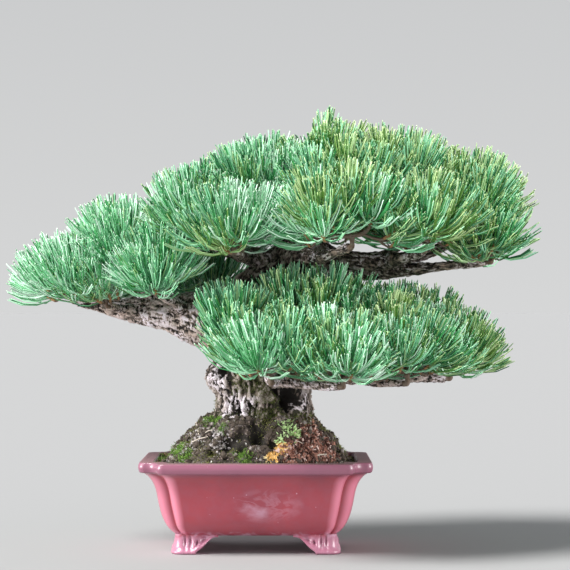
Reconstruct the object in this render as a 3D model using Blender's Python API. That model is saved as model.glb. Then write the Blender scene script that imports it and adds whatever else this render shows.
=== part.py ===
"""A Japanese white pine trained as a bonsai, in its own footed clay pot.

The tree is modelled at its real size in metres, +Z up. The tables below are in millimetres,
measured from the middle of the pot at the level of the table it stands on; the last step moves
everything so that the origin lies under the middle of the whole tree.
"""

import math
import random

import bmesh
import bpy
from mathutils import Matrix, Vector, noise

MM = 0.001
CLEAR = 0.3  # the gap left between pieces that meet
UP = Vector((0, 0, 1))
SHARP_ANGLE = math.radians(35)

# Pot: a rectangle with inset corners, flaring from a narrow foot to a flat lip
RIM_HALF_WIDTH = 92.0
RIM_HALF_DEPTH = 70.0
POT_HEIGHT = 73.0
POT_UNDERSIDE = 14.5
LIP_HEIGHT = 8.5
FLOOR = 6.0
NOTCH = 16.0  # how far the inset corner cuts into each side at the lip
LOBE_RADIUS = 4.0
CORNER_POINTS = 2
# Each step of the outside wall: height above the table, how far it lies inside the lip, and its
# inset corner
WALL_STEPS = (
    (14.5, 29.5, 5.0),
    (17.0, 26.0, 7.0),
    (22.0, 22.0, 8.0),
    (32.0, 18.0, 9.0),
    (46.0, 15.5, 9.5),
    (57.0, 12.5, 11.0),
    (62.0, 9.0, 13.0),
    (65.0, 5.5, 14.5),
)
INNER_STEPS = ((20.5, 30.0, 6.0), (32.0, 23.5, 8.0), (60.0, 16.0, 9.0), (73.0, 11.0, 12.0))
DRAIN_RADIUS = 7.0
DRAIN_OFFSET = 30.0

# Feet: a bracket round each corner with a flared toe and a thin wing along either side
FOOT_LENGTH = 33.0
FOOT_THICKNESS = 9.0
FOOT_CORNER = (62.5, 40.5)  # the corner under the wall, from the middle of the pot
FOOT_STEPS = 4
TOE_LENGTH = 15.0
TOE_RADIUS = 5.0
TOE_FLARE = 4.5

# Root ball: it fills the pot and rises to the trunk as a steep mound
MOUND_TOP = 106.0
MOUND_BOTTOM = 65.0
MOUND_FOOT = (75.0, 53.0)
MOUND_SHOULDER = (42.5, 41.5)
MOUND_CURVE = 1.35
MOUND_SHIFT = 2.0
FILL_TOP = 69.0

# Trunk stations: x, y, height, radius
TRUNK = (
    (4, 0, 106.3, 41.5),
    (4, 0, 112, 39.5),
    (3, 0, 126, 39.5),
    (1, 2, 142, 40.0),
    (-2, 4, 160, 38.0),
    (-2, 6, 178, 34.5),
    (6, 8, 196, 29.5),
    (18, 9, 214, 25.5),
    (28, 9, 232, 21.5),
    (37, 9, 250, 16.5),
    (46, 8, 268, 11.5),
    (56, 4, 286, 6.5),
)
TRUNK_SIDES_RESOLUTION = 6
GNARL = 2.6  # how far the trunk's burrs stand out
GNARL_SIZE = 26.0

# Masses of foliage. Each is a low dome of buds: the middle of its rim, its half width and half
# depth, how far the dome rises, and its number of shoots
MASSES = {
    "left_low": ((-116, -34, 205), (9, 7), 1, 2),
    "left_tip": ((-145, -4, 209), (19, 24), 9, 8),
    "left_top": ((-107, 4, 232), (22, 28), 12, 8),
    "left_front": ((-76, -42, 214), (11, 12), 6, 4),
    "left_inner": ((-42, 54, 208), (18, 16), 8, 4),
    "left_back": ((-108, 56, 212), (26, 18), 12, 6),
    "low_left": ((-16, -58, 168), (16, 14), 7, 5),
    "low_front_left": ((13, -88, 147), (25, 18), 10, 7),
    "low_front_right": ((64, -90, 144), (25, 18), 11, 7),
    "low_right_front": ((114, -76, 146), (24, 18), 11, 6),
    "low_right": ((150, -30, 148), (22, 28), 10, 7),
    "low_inner": ((44, -34, 176), (42, 15), 14, 8),
    "low_middle": ((94, -46, 160), (30, 18), 11, 7),
    "low_right_back": ((122, 24, 165), (32, 26), 12, 7),
    "low_back": ((40, 74, 158), (32, 22), 14, 7),
    "crown_left": ((-42, -8, 256), (24, 34), 18, 9),
    "crown_left_front": ((-16, -60, 247), (22, 12), 6, 5),
    "crown_left_back": ((-12, 58, 262), (30, 24), 14, 7),
    "crown_top_left": ((8, 2, 284), (26, 28), 10, 8),
    "crown_apex": ((56, 4, 300), (18, 20), 16, 6),
    "crown_middle": ((72, -38, 276), (38, 18), 12, 7),
    "crown_front": ((72, -84, 250), (36, 18), 16, 8),
    "crown_top_right": ((112, 4, 288), (32, 32), 14, 9),
    "crown_right": ((170, -6, 262), (26, 38), 22, 10),
    "crown_right_front": ((130, -66, 248), (22, 20), 16, 6),
    "crown_right_low": ((182, -32, 240), (10, 18), 3, 4),
    "crown_right_back": ((132, 62, 264), (32, 24), 18, 8),
    "crown_back": ((62, 80, 266), (34, 22), 16, 8),
}

# Boughs: the limb that each one grows from and how far along it, the mass it ends under, its
# radius at the root and at the tip, how far its middle hangs and how far it bows to its left
BOUGHS = {
    "left_bough": ("trunk", 0.475, "left_tip", 26.0, 4.5, 3.0, 0.0),
    "left_low_bough": ("left_bough", 0.66, "left_low", 4.5, 3.0, 1.0, 0.0),
    "left_top_bough": ("left_bough", 0.5, "left_top", 6.5, 3.6, -2.0, 0.0),
    "left_front_bough": ("left_bough", 0.38, "left_front", 6.0, 3.2, 0.0, 3.0),
    "left_inner_bough": ("left_bough", 0.22, "left_inner", 6.5, 3.2, 2.0, 0.0),
    "left_back_bough": ("left_bough", 0.46, "left_back", 6.5, 3.2, 3.0, 0.0),
    "low_left_bough": ("trunk", 0.42, "low_left", 7.0, 3.2, 2.0, 0.0),
    "low_front_bough": ("trunk", 0.24, "low_front_left", 9.0, 3.6, 2.0, 6.0),
    "low_front_right_bough": ("low_front_bough", 0.55, "low_front_right", 5.5, 3.2, 3.0, 3.0),
    "low_right_bough": ("trunk", 0.25, "low_right", 10.0, 3.6, 4.0, -16.0),
    "low_right_front_bough": ("low_right_bough", 0.48, "low_right_front", 5.0, 3.2, 3.0, 2.0),
    "low_middle_bough": ("low_right_bough", 0.36, "low_middle", 5.0, 3.2, -1.0, 0.0),
    "low_right_back_bough": ("low_right_bough", 0.58, "low_right_back", 5.0, 3.2, 2.0, 0.0),
    "low_inner_bough": ("trunk", 0.45, "low_inner", 7.0, 3.2, 1.0, 0.0),
    "low_back_bough": ("trunk", 0.32, "low_back", 8.0, 3.4, 4.0, 0.0),
    "crown_left_bough": ("trunk", 0.72, "crown_left", 9.5, 4.0, 4.0, 0.0),
    "crown_left_front_bough": ("crown_left_bough", 0.45, "crown_left_front", 5.0, 3.0, 3.0, 0.0),
    "crown_left_back_bough": ("crown_left_bough", 0.6, "crown_left_back", 5.0, 3.0, 2.0, 0.0),
    "crown_top_left_bough": ("trunk", 0.87, "crown_top_left", 6.0, 3.4, 1.0, 0.0),
    "crown_middle_bough": ("trunk", 0.82, "crown_middle", 7.0, 3.4, 2.0, 0.0),
    "crown_front_bough": ("trunk", 0.74, "crown_front", 8.5, 3.8, 7.0, 0.0),
    "crown_top_right_bough": ("trunk", 0.91, "crown_top_right", 5.8, 3.4, 3.0, 0.0),
    "crown_right_bough": ("trunk", 0.79, "crown_right", 9.5, 4.0, 8.0, -8.0),
    "crown_right_front_bough": ("crown_right_bough", 0.55, "crown_right_front", 5.0, 3.0, 3.0, 0.0),
    "crown_right_low_bough": ("trunk", 0.67, "crown_right_low", 9.0, 3.2, 9.0, 8.0),
    "crown_right_back_bough": ("crown_right_bough", 0.42, "crown_right_back", 5.5, 3.0, 3.0, 0.0),
    "crown_back_bough": ("trunk", 0.76, "crown_back", 8.0, 3.4, 4.0, 0.0),
}
FOOT_DROP = 14.0  # a bough's tip lies this far under the rim of its mass
BOUGH_STATIONS = 5
BOUGH_TAPER = 1.15
CROOK = 0.035  # how far a bough wanders from its curve, as a share of its length
MAIN_BOUGH_RADIUS = 8.0  # boughs thicker than this at the root have more sides

# Shoots: each is a bud on a twig, and needles spreading from the bud
GOLDEN_ANGLE = math.radians(137.508)
BUD_SCATTER = 2.0
STEM_NECK = 4.0
HUB_RISE = 4.0  # how far the twigs' first joint lies above the bough's tip
STEM_RADIUS = 2.8
TWIG_RADIUS = 1.7
STRAIGHT_TWIG = 20.0
TWIG_SAG = 0.12
BUD_RADIUS = 6.5
BUD_STRETCH = 1.5
CORE_RISE = 4.0  # how far the middle of the ball lies above the bud
NEEDLE_LENGTH = 34.0
SHOOT_GROWTH = 10.0  # the needles along the shoot's own line reach this much further
NEEDLE_LIFT = 0.2
NEEDLE_SPREAD = math.radians(88)  # the widest angle between a needle and its shoot
NEEDLE_DROOP = -0.25  # the steepest way down that a needle may point
MOST_NEEDLES = 12
SPARE = 0.6  # kept free round needles and twigs beyond the gap
SHOOT_SPREAD = 0.8  # how far the shoots at a mass's rim lean out
TREE_MIDDLE = Vector((30, 0, 0))
TREE_LEAN = 0.35  # how far the outer masses lean away from the middle of the tree


def clear_scene():
    """Remove the objects of the startup scene."""
    for thing in list(bpy.data.objects):
        bpy.data.objects.remove(thing)


def make_material(name, colour, roughness):
    """One plain finish."""
    material = bpy.data.materials.new(name)
    material.use_nodes = True
    shader = material.node_tree.nodes["Principled BSDF"]
    shader.inputs["Base Color"].default_value = (*colour, 1)
    shader.inputs["Roughness"].default_value = roughness
    shader.inputs["Metallic"].default_value = 0
    material.diffuse_color = (*colour, 1)
    return material


clear_scene()
TREE = bpy.data.collections.new("white_pine_bonsai")
CUTTERS = bpy.data.collections.new("cutters")
bpy.context.scene.collection.children.link(TREE)
bpy.context.scene.collection.children.link(CUTTERS)
CUTTERS.hide_render = True

CLAY = make_material("red_clay", (0.36, 0.1, 0.11), 0.5)
SOIL = make_material("soil", (0.13, 0.1, 0.07), 0.95)
BARK = make_material("bark", (0.2, 0.16, 0.14), 0.9)
NEEDLES = make_material("needles", (0.14, 0.33, 0.18), 0.5)


def add_mesh(name, bm, material, collection=TREE):
    """Put a bmesh built in millimetres into the scene as a named object in metres."""
    bmesh.ops.scale(bm, vec=(MM, MM, MM), verts=bm.verts)
    mesh = bpy.data.meshes.new(name)
    bm.to_mesh(mesh)
    bm.free()
    thing = bpy.data.objects.new(name, mesh)
    mesh.materials.append(material)
    collection.objects.link(thing)
    return thing


def evaluated_mesh(thing):
    """The object's mesh with its modifiers applied."""
    bpy.context.view_layer.update()
    graph = bpy.context.evaluated_depsgraph_get()
    return bpy.data.meshes.new_from_object(thing.evaluated_get(graph))


def apply_modifiers(thing):
    """Keep the evaluated mesh and drop the modifiers."""
    mesh = evaluated_mesh(thing)
    thing.modifiers.clear()
    thing.data = mesh


def cut(thing, cutter):
    """Take the cutter's shape out of the object."""
    modifier = thing.modifiers.new("cut", "BOOLEAN")
    modifier.operation = "DIFFERENCE"
    modifier.solver = "EXACT"
    modifier.object = cutter
    apply_modifiers(thing)


def join(thing, collection, solver="EXACT"):
    """Fuse all the collection's shapes to the object, and remove them."""
    modifier = thing.modifiers.new("join", "BOOLEAN")
    modifier.operation = "UNION"
    modifier.operand_type = "COLLECTION"
    modifier.solver = solver
    modifier.collection = collection
    apply_modifiers(thing)
    for piece in list(collection.objects):
        bpy.data.objects.remove(piece)
    bpy.data.collections.remove(collection)


def smooth(thing):
    """Shade the round parts smooth and keep the sharp edges."""
    thing.data.shade_smooth()
    thing.data.set_sharp_from_angle(angle=SHARP_ANGLE)


def swollen_copy(thing, by):
    """A cutter: the object's shape grown by a little all over."""
    cutter = bpy.data.objects.new(thing.name + "_room", thing.data.copy())
    CUTTERS.objects.link(cutter)
    cutter.display_type = "WIRE"
    cutter.hide_render = True
    grow = cutter.modifiers.new("grow", "DISPLACE")
    grow.direction = "NORMAL"
    grow.mid_level = 0
    grow.strength = by * MM
    return cutter


# The pot


def quarter_turn(steps):
    """Cosine and sine at even steps of a quarter circle, both ends included."""
    angles = [math.radians(90) * step / steps for step in range(steps + 1)]
    return [(math.cos(angle), math.sin(angle)) for angle in angles]


def notched_outline(half_width, half_depth, notch):
    """Points round a rectangle whose corners are inset, with a rounded lobe either side of each."""
    lobe = min(LOBE_RADIUS, notch * 0.25)
    hollow = notch - lobe
    x, y = half_width - lobe, half_depth - lobe
    turn = quarter_turn(CORNER_POINTS)
    corner = [(x + lobe * c, y - notch + lobe * s) for c, s in turn]
    corner += [(x - hollow * s, y - hollow * c) for c, s in turn[1:-1]]
    corner += [(x - notch + lobe * c, y + lobe * s) for c, s in turn]
    back = [(-x, y) for x, y in reversed(corner)]
    return corner + back + [(-x, -y) for x, y in corner] + [(-x, -y) for x, y in back]


def ring_between(bm, lower, upper):
    """Quads between two rings of the same number of corners."""
    count = len(lower)
    for i in range(count):
        bm.faces.new((lower[i], lower[(i + 1) % count], upper[(i + 1) % count], upper[i]))


def outline_loft(steps):
    """A closed solid through the pot's outline at each step's height, inset and notch."""
    bm = bmesh.new()
    rings = []
    for height, inset, notch in steps:
        points = notched_outline(RIM_HALF_WIDTH - inset, RIM_HALF_DEPTH - inset, notch)
        rings.append([bm.verts.new((x, y, height)) for x, y in points])
    for lower, upper in zip(rings, rings[1:]):
        ring_between(bm, lower, upper)
    bm.faces.new(reversed(rings[0]))
    bm.faces.new(rings[-1])
    bmesh.ops.recalc_face_normals(bm, faces=bm.faces)
    return bm


def inner_step_at(height):
    """The cavity's inset and notch at a height."""
    for (low, inset, notch), (high, high_inset, high_notch) in zip(INNER_STEPS, INNER_STEPS[1:]):
        if low <= height <= high:
            part = (height - low) / (high - low)
            return inset + (high_inset - inset) * part, notch + (high_notch - notch) * part
    return INNER_STEPS[-1][1:]


def foot_underside(along):
    """The height of a foot's lower edge along its side: a toe, then a scalloped wing."""
    top = POT_UNDERSIDE
    if along <= TOE_LENGTH:
        return 0.0
    share = (along - TOE_LENGTH) / (FOOT_LENGTH - TOE_LENGTH)
    return (top - 1.2) * (share**0.6 - 0.1 * math.sin(share * math.tau))


def foot_stations():
    """Places along a foot from one wing's tip round the corner to the other's."""
    wing = []
    for step in range(FOOT_STEPS + 1):
        along = FOOT_LENGTH + (TOE_LENGTH - FOOT_LENGTH) * step / FOOT_STEPS
        wing.append((Vector((along, 0, 0)), Vector((0, -1, 0)), along))
    radius = TOE_RADIUS
    bend = []
    for step in range(4):
        angle = math.radians(270 - 30 * step)
        out = Vector((math.cos(angle), math.sin(angle), 0))
        bend.append((Vector((radius, radius, 0)) + out * radius, out, 0.0))
    other = [(place.yxz, out.yxz, along) for place, out, along in reversed(wing)]
    return wing + bend + other


def make_foot(side_x, side_y, collection):
    """A corner foot, lofted through upright sections that turn round the corner."""
    top = POT_UNDERSIDE + 1.0
    bm = bmesh.new()
    sections = []
    for place, out, along in foot_stations():
        low = foot_underside(along)
        flare = TOE_FLARE * (1 - low / top)
        inner = place - out * FOOT_THICKNESS
        if along == 0.0:
            inner = Vector((1, 1, 0)) * (FOOT_THICKNESS + TOE_RADIUS * 0.3)
        corners = (
            place + out * flare + UP * low, place + out * flare * 0.25 + UP * (low * 0.55 + top * 0.45),
            place + out * 1.5 + UP * top, inner + UP * top, inner + UP * low,
        )
        places = [(side_x * (FOOT_CORNER[0] - v.x), side_y * (FOOT_CORNER[1] - v.y), v.z) for v in corners]
        sections.append([bm.verts.new(place) for place in places])
    for first, second in zip(sections, sections[1:]):
        ring_between(bm, first, second)
    bm.faces.new(sections[0])
    bm.faces.new(sections[-1])
    bmesh.ops.remove_doubles(bm, verts=bm.verts, dist=0.05)
    bmesh.ops.recalc_face_normals(bm, faces=bm.faces)
    return add_mesh("foot", bm, CLAY, collection)


def make_pot():
    """The clay pot: flared wall, flat lip, two drain holes and four corner feet."""
    under = POT_HEIGHT - LIP_HEIGHT
    edges = ((under, 1.0), (under + 1, 0), (POT_HEIGHT - 1, 0), (POT_HEIGHT, 1.0))
    lip = [(height, inset, NOTCH) for height, inset in edges]
    pot = add_mesh("pot", outline_loft([*WALL_STEPS, *lip, *reversed(INNER_STEPS)]), CLAY)
    for side in (-1, 1):
        bm = bmesh.new()
        bmesh.ops.create_cone(
            bm, cap_ends=True, segments=12, radius1=DRAIN_RADIUS, radius2=DRAIN_RADIUS, depth=4 * FLOOR,
            matrix=Matrix.Translation((side * DRAIN_OFFSET, 0, POT_UNDERSIDE)),
        )
        drain = add_mesh("drain_cutter", bm, CLAY, CUTTERS)
        cut(pot, drain)
        bpy.data.objects.remove(drain)
    feet = bpy.data.collections.new("feet")
    bpy.context.scene.collection.children.link(feet)
    for side_x in (-1, 1):
        for side_y in (-1, 1):
            make_foot(side_x, side_y, feet)
    join(pot, feet)
    smooth(pot)
    return pot


def make_root_ball():
    """Soil that fills the pot and rises to a flat seat under the trunk."""
    heights = [INNER_STEPS[0][0] + CLEAR, *(step[0] for step in INNER_STEPS[1:-1]), FILL_TOP]
    steps = []
    for height in heights:
        inset, notch = inner_step_at(height)
        steps.append((height, inset + CLEAR * 1.5, notch))
    ball = add_mesh("root_ball", outline_loft(steps), SOIL)
    add_mound(ball)
    smooth(ball)
    return ball


def add_mound(ball):
    """Fuse the mound that carries the trunk to the soil in the pot."""
    rings = 5
    sides = 20
    bm = bmesh.new()
    levels = []
    for ring in range(rings + 1):
        share = ring / rings
        height = MOUND_BOTTOM + (MOUND_TOP - MOUND_BOTTOM) * share
        bulge = 1 - share**MOUND_CURVE
        half_x = MOUND_SHOULDER[0] + (MOUND_FOOT[0] - MOUND_SHOULDER[0]) * bulge
        half_y = MOUND_SHOULDER[1] + (MOUND_FOOT[1] - MOUND_SHOULDER[1]) * bulge
        level = []
        for side in range(sides):
            angle = math.tau * side / sides
            place = (MOUND_SHIFT + half_x * math.cos(angle), half_y * math.sin(angle), height)
            level.append(bm.verts.new(place))
        levels.append(level)
    for lower, upper in zip(levels, levels[1:]):
        ring_between(bm, lower, upper)
    bm.faces.new(reversed(levels[0]))
    bm.faces.new(levels[-1])
    bmesh.ops.recalc_face_normals(bm, faces=bm.faces)
    heap = bpy.data.collections.new("mound")
    bpy.context.scene.collection.children.link(heap)
    add_mesh("mound", bm, SOIL, heap)
    join(ball, heap)


# Limbs


def curve_to_mesh(thing, material):
    """A curve's solid as a mesh object of the same name and place."""
    name = thing.name
    mesh = evaluated_mesh(thing)
    matrix = thing.matrix_world.copy()
    bpy.data.objects.remove(thing)
    bm = bmesh.new()
    bm.from_mesh(mesh)
    bm.transform(matrix)
    bmesh.ops.remove_doubles(bm, verts=bm.verts, dist=0.01 * MM)
    bmesh.ops.recalc_face_normals(bm, faces=bm.faces)
    bmesh.ops.triangulate(bm, faces=bm.faces)
    bm.to_mesh(mesh)
    bm.free()
    mesh.shade_smooth()
    made = bpy.data.objects.new(name, mesh)
    mesh.materials.clear()
    mesh.materials.append(material)
    TREE.objects.link(made)
    return made


def station_on(path, share):
    """The place and radius at a share of the way along a limb."""
    reach = share * (len(path) - 1)
    first = min(int(reach), len(path) - 2)
    part = reach - first
    (place_a, radius_a), (place_b, radius_b) = path[first], path[first + 1]
    return place_a.lerp(place_b, part), radius_a + (radius_b - radius_a) * part


def trunk_path():
    """The trunk's centre line and radii."""
    return [(Vector((x, y, z)), r) for x, y, z, r in TRUNK]


def axis_at(path, height):
    """The middle of the trunk at a height."""
    for (low, _), (high, _) in zip(path, path[1:]):
        if height <= high.z:
            return low.lerp(high, max(0, (height - low.z) / (high.z - low.z)))
    return path[-1][0]


def mass_foot(mass):
    """Where the bough that carries a mass ends."""
    (x, y, z), _, _, _ = MASSES[mass]
    return Vector((x, y, z - FOOT_DROP))


def bough_path(name, paths):
    """A bough's centre line and radii: a hanging curve with a bow and a seeded crook."""
    parent, share, mass, root_radius, tip_radius, hang, bow = BOUGHS[name]
    root, _ = station_on(paths[parent], share)
    tip = mass_foot(mass)
    phase = random.Random(name).uniform(0, math.tau)
    left = UP.cross(tip - root).normalized()
    length = (tip - root).length
    path = []
    for step in range(BOUGH_STATIONS + 1):
        t = step / BOUGH_STATIONS
        arch = 4 * t * (1 - t)
        place = root.lerp(tip, t) - UP * hang * arch
        place += left * arch * (bow + CROOK * length * math.sin(phase + 5 * t))
        radius = tip_radius + (root_radius - tip_radius) * (1 - t) ** BOUGH_TAPER
        path.append((place, radius))
    return path


def make_limb(name, path, resolution, material):
    """A tapering tube with flat ends along a limb's path."""
    curve = bpy.data.curves.new(name, "CURVE")
    curve.dimensions = "3D"
    curve.bevel_depth = MM
    curve.bevel_resolution = resolution
    curve.use_fill_caps = True
    curve.twist_mode = "MINIMUM"
    spline = curve.splines.new("POLY")
    spline.points.add(len(path) - 1)
    for point, (place, radius) in zip(spline.points, path):
        point.co = (*(place * MM), 1)
        point.radius = radius
    thing = bpy.data.objects.new(name, curve)
    TREE.objects.link(thing)
    return curve_to_mesh(thing, material)


def make_trunk(path):
    """The trunk with its root flare and burrs, flat where it meets the soil."""
    trunk = make_limb("trunk", path, TRUNK_SIDES_RESOLUTION, BARK)
    foot, tip = path[0][0].z, path[-1][0].z
    for vert in trunk.data.vertices:
        place = vert.co / MM
        if foot + 2 < place.z < tip - 8:
            axis = axis_at(path, place.z)
            out = Vector((place.x - axis.x, place.y - axis.y, 0))
            burr = noise.noise(place / GNARL_SIZE) * GNARL * 2
            vert.co += out.normalized() * burr * min(1, out.length / path[0][1]) * MM
    return trunk


# Foliage


def mass_buds(name):
    """The buds of a mass: where each one stands and the way its shoot points."""
    (x, y, z), (half_width, half_depth), rise, count = MASSES[name]
    chance = random.Random(name)
    turn = chance.uniform(0, math.tau)
    away = Vector((x, y, 0)) - TREE_MIDDLE
    lean = away * (TREE_LEAN / 150)
    buds = []
    for number in range(count):
        share = math.sqrt((number + 0.5) / count)
        angle = turn + number * GOLDEN_ANGLE
        out = Vector((math.cos(angle), math.sin(angle), 0))
        place = Vector((x, y, z)) + UP * rise * (1 - share * share)
        place += Vector((half_width * out.x, half_depth * out.y, 0)) * share
        place += Vector([chance.uniform(-BUD_SCATTER, BUD_SCATTER) for _ in range(3)])
        axis = (UP + out * SHOOT_SPREAD * share + lean).normalized()
        buds.append((place, axis))
    return buds


def twig_rods(joint, base):
    """The rods of a twig from a joint to the foot of a bud: bent when it is long."""
    span = (base - joint).length
    if span < STRAIGHT_TWIG:
        return [(joint, base, (TWIG_RADIUS, TWIG_RADIUS))]
    elbow = joint.lerp(base, 0.6) - UP * TWIG_SAG * span
    return [(joint, elbow, (TWIG_RADIUS + 0.3, TWIG_RADIUS)), (elbow, base, (TWIG_RADIUS, TWIG_RADIUS))]


def plant_stem(name, tip_way, tip_radius, room):
    """The stem of a mass, from just off its bough's tip to the joint its twigs leave from."""
    foot = mass_foot(name)
    neck = foot + tip_way * STEM_NECK
    hub = neck + UP * (HUB_RISE + tip_radius)
    rods = [
        (foot + tip_way * CLEAR, neck, (STEM_RADIUS, STEM_RADIUS * 0.9)),
        (neck - tip_way, hub, (STEM_RADIUS * 0.85, STEM_RADIUS * 0.75)),
    ]
    room.add(rods, (name, -1))
    return rods, hub


def grow_mass(name, hub, room):
    """The shoots of a mass: each bud's twig joins the nearest joint that it can reach."""
    joints = [hub]
    shoots = []
    for bud, axis in sorted(mass_buds(name), key=lambda bud: (bud[0] - hub).length):
        core = (bud, bud + axis * CORE_RISE * 2, (BUD_RADIUS, BUD_RADIUS))
        base = bud - axis * (BUD_RADIUS * BUD_STRETCH - CORE_RISE)
        near = sorted(joints, key=lambda joint: (joint - base).length + 0.35 * (joint - hub).length)
        for joint in near:
            rods = twig_rods(joint, base)
            owner = (name, len(shoots))
            if room.is_clear([core, *rods], owner, whole_mass=True):
                room.add([core, *rods], owner)
                shape, top = shoot_shape(owner, bud, axis, rods)
                joints.append(rods[0][1] if len(rods) > 1 else joint.lerp(top, 0.5))
                shoots.append((owner, bud, axis, shape))
                break
    return shoots


def segment_gap(start, end, radii, others):
    """The least gap between a tapering rod and the ones already there."""
    least = math.inf
    way = end - start
    for other_start, other_end, other_radii in others:
        other_way = other_end - other_start
        between = start - other_start
        a, e, f = way.dot(way), other_way.dot(other_way), other_way.dot(between)
        b, c = way.dot(other_way), way.dot(between)
        spread = a * e - b * b
        s = min(1, max(0, (b * f - c * e) / spread)) if spread > 1e-9 else 0.0
        t = (b * s + f) / e
        if t < 0 or t > 1:
            t = min(1, max(0, t))
            s = min(1, max(0, (b * t - c) / a))
        distance = (start + way * s - other_start - other_way * t).length
        width = radii[0] + (radii[1] - radii[0]) * s
        other_width = other_radii[0] + (other_radii[1] - other_radii[0]) * t
        least = min(least, distance - width - other_width)
    return least


class Room:
    """What stands in the crown so far, kept in boxes so that only near things are compared.

    Every rod has an owner: its mass or limb, and the number of its shoot there.
    """

    def __init__(self, cell):
        self.cell = cell
        self.boxes = {}

    def keys(self, start, end, reach):
        spans = []
        for a, b in zip(start, end):
            low, high = (min(a, b) - reach) / self.cell, (max(a, b) + reach) / self.cell
            spans.append(range(math.floor(low), math.floor(high) + 1))
        return [(i, j, k) for i in spans[0] for j in spans[1] for k in spans[2]]

    def add(self, rods, owner):
        for start, end, radii in rods:
            for key in self.keys(start, end, max(radii)):
                self.boxes.setdefault(key, []).append((start, end, radii, owner))

    def is_clear(self, rods, owner, whole_mass):
        """Whether the rods keep off everything but their own shoot, or their own mass."""
        for start, end, radii in rods:
            near = {}
            for key in self.keys(start, end, max(radii) + CLEAR + SPARE):
                for other in self.boxes.get(key, ()):
                    if other[3] != owner and not (whole_mass and other[3][0] == owner[0]):
                        near[id(other)] = other[:3]
            if segment_gap(start, end, radii, near.values()) < CLEAR + SPARE:
                return False
        return True


def shoot_shape(owner, bud, axis, rods):
    """A bud as a stretched twenty-sided ball, its lowest face drawn out along the twig."""
    bm = bmesh.new()
    bmesh.ops.create_icosphere(bm, subdivisions=1, radius=BUD_RADIUS)
    stretch = Matrix.Diagonal((1, 1, BUD_STRETCH, 1))
    upright = axis.to_track_quat("Z", "Y").to_matrix().to_4x4()
    turn = Matrix.Rotation(owner[1] * GOLDEN_ANGLE, 4, "Z") @ Matrix.Rotation(0.6, 4, "X")
    middle = bud + axis * CORE_RISE
    bm.transform(Matrix.Translation(middle) @ upright @ stretch @ turn)
    way = rods[-1][0] - middle
    face = min(bm.faces, key=lambda face: (face.calc_center_median() - middle).angle(way))
    top = face.calc_center_median()
    for start, _, radii in reversed(rods):
        middle = face.calc_center_median()
        face = bmesh.ops.extrude_discrete_faces(bm, faces=[face])["faces"][0]
        along = (start - middle).normalized()
        for vert in face.verts:
            side = vert.co - middle
            side -= along * side.dot(along)
            vert.co = start + side.normalized() * radii[0]
    bm.faces.index_update()
    return bm, top


def grow_needles(shoots, room):
    """Give every shoot the needles that touch nothing, those nearest to its own line first."""
    wanted = []
    for number, (owner, bud, axis, bm) in enumerate(shoots):
        chance = random.Random(str(owner))
        middle = bud + axis * CORE_RISE
        bm.faces.ensure_lookup_table()
        for face in bm.faces[:19]:
            start = face.calc_center_median()
            angle = (start - middle).angle(axis)
            way = ((start - bud).normalized() + axis * NEEDLE_LIFT).normalized()
            if angle < NEEDLE_SPREAD and way.z > NEEDLE_DROOP:
                length = NEEDLE_LENGTH + SHOOT_GROWTH * math.cos(angle)
                tip = bud + way * length * chance.uniform(0.93, 1.04)
                wanted.append((angle, number, face.index, start, tip))
    accepted = [[] for _ in shoots]
    for _, number, face, start, tip in sorted(wanted, key=lambda item: item[:3]):
        needle = [(start.lerp(tip, 0.08), tip, (BUD_RADIUS * 0.6, 0.2))]
        owner = shoots[number][0]
        if len(accepted[number]) < MOST_NEEDLES and room.is_clear(needle, owner, whole_mass=False):
            room.add(needle, owner)
            accepted[number].append((face, tip))
    for (_, _, _, bm), needles in zip(shoots, accepted):
        bm.faces.ensure_lookup_table()
        faces = [(bm.faces[index], tip) for index, tip in needles]
        for face, tip in faces:
            bmesh.ops.poke(bm, faces=[face])["verts"][0].co = tip


def rod(start, end, radii):
    """A three-sided tapering twig."""
    bm = bmesh.new()
    way = end - start
    turn = way.to_track_quat("Z", "Y").to_matrix().to_4x4()
    bmesh.ops.create_cone(
        bm, cap_ends=True, segments=3, radius1=radii[0], radius2=radii[1], depth=way.length,
        matrix=Matrix.Translation((start + end) / 2) @ turn,
    )
    return bm


def make_mass(name, stem, shapes):
    """Fuse a mass's stem and its needled shoots into one solid."""
    pieces = bpy.data.collections.new(name + "_pieces")
    bpy.context.scene.collection.children.link(pieces)
    neck, hub = stem
    body = add_mesh(name, rod(*neck), NEEDLES)
    add_mesh(name + "_hub", rod(*hub), NEEDLES, pieces)
    for number, bm in enumerate(shapes):
        bmesh.ops.triangulate(bm, faces=bm.faces)
        add_mesh(f"{name}_shoot_{number}", bm, NEEDLES, pieces)
    join(body, pieces)
    return body


def grow_limbs():
    """The trunk and its boughs, each cut clear of the limb that it grows from."""
    paths = {"trunk": trunk_path()}
    limbs = {"trunk": make_trunk(paths["trunk"])}
    for name, bough in BOUGHS.items():
        paths[name] = bough_path(name, paths)
        resolution = 2 if bough[3] > MAIN_BOUGH_RADIUS else 1
        limbs[name] = make_limb(name, paths[name], resolution, BARK)
    for name in reversed(BOUGHS):
        parent = BOUGHS[name][0]
        for other in dict.fromkeys((parent, "trunk")):
            cutter = swollen_copy(limbs[other], CLEAR)
            cut(limbs[name], cutter)
            bpy.data.objects.remove(cutter)
    return paths


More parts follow.
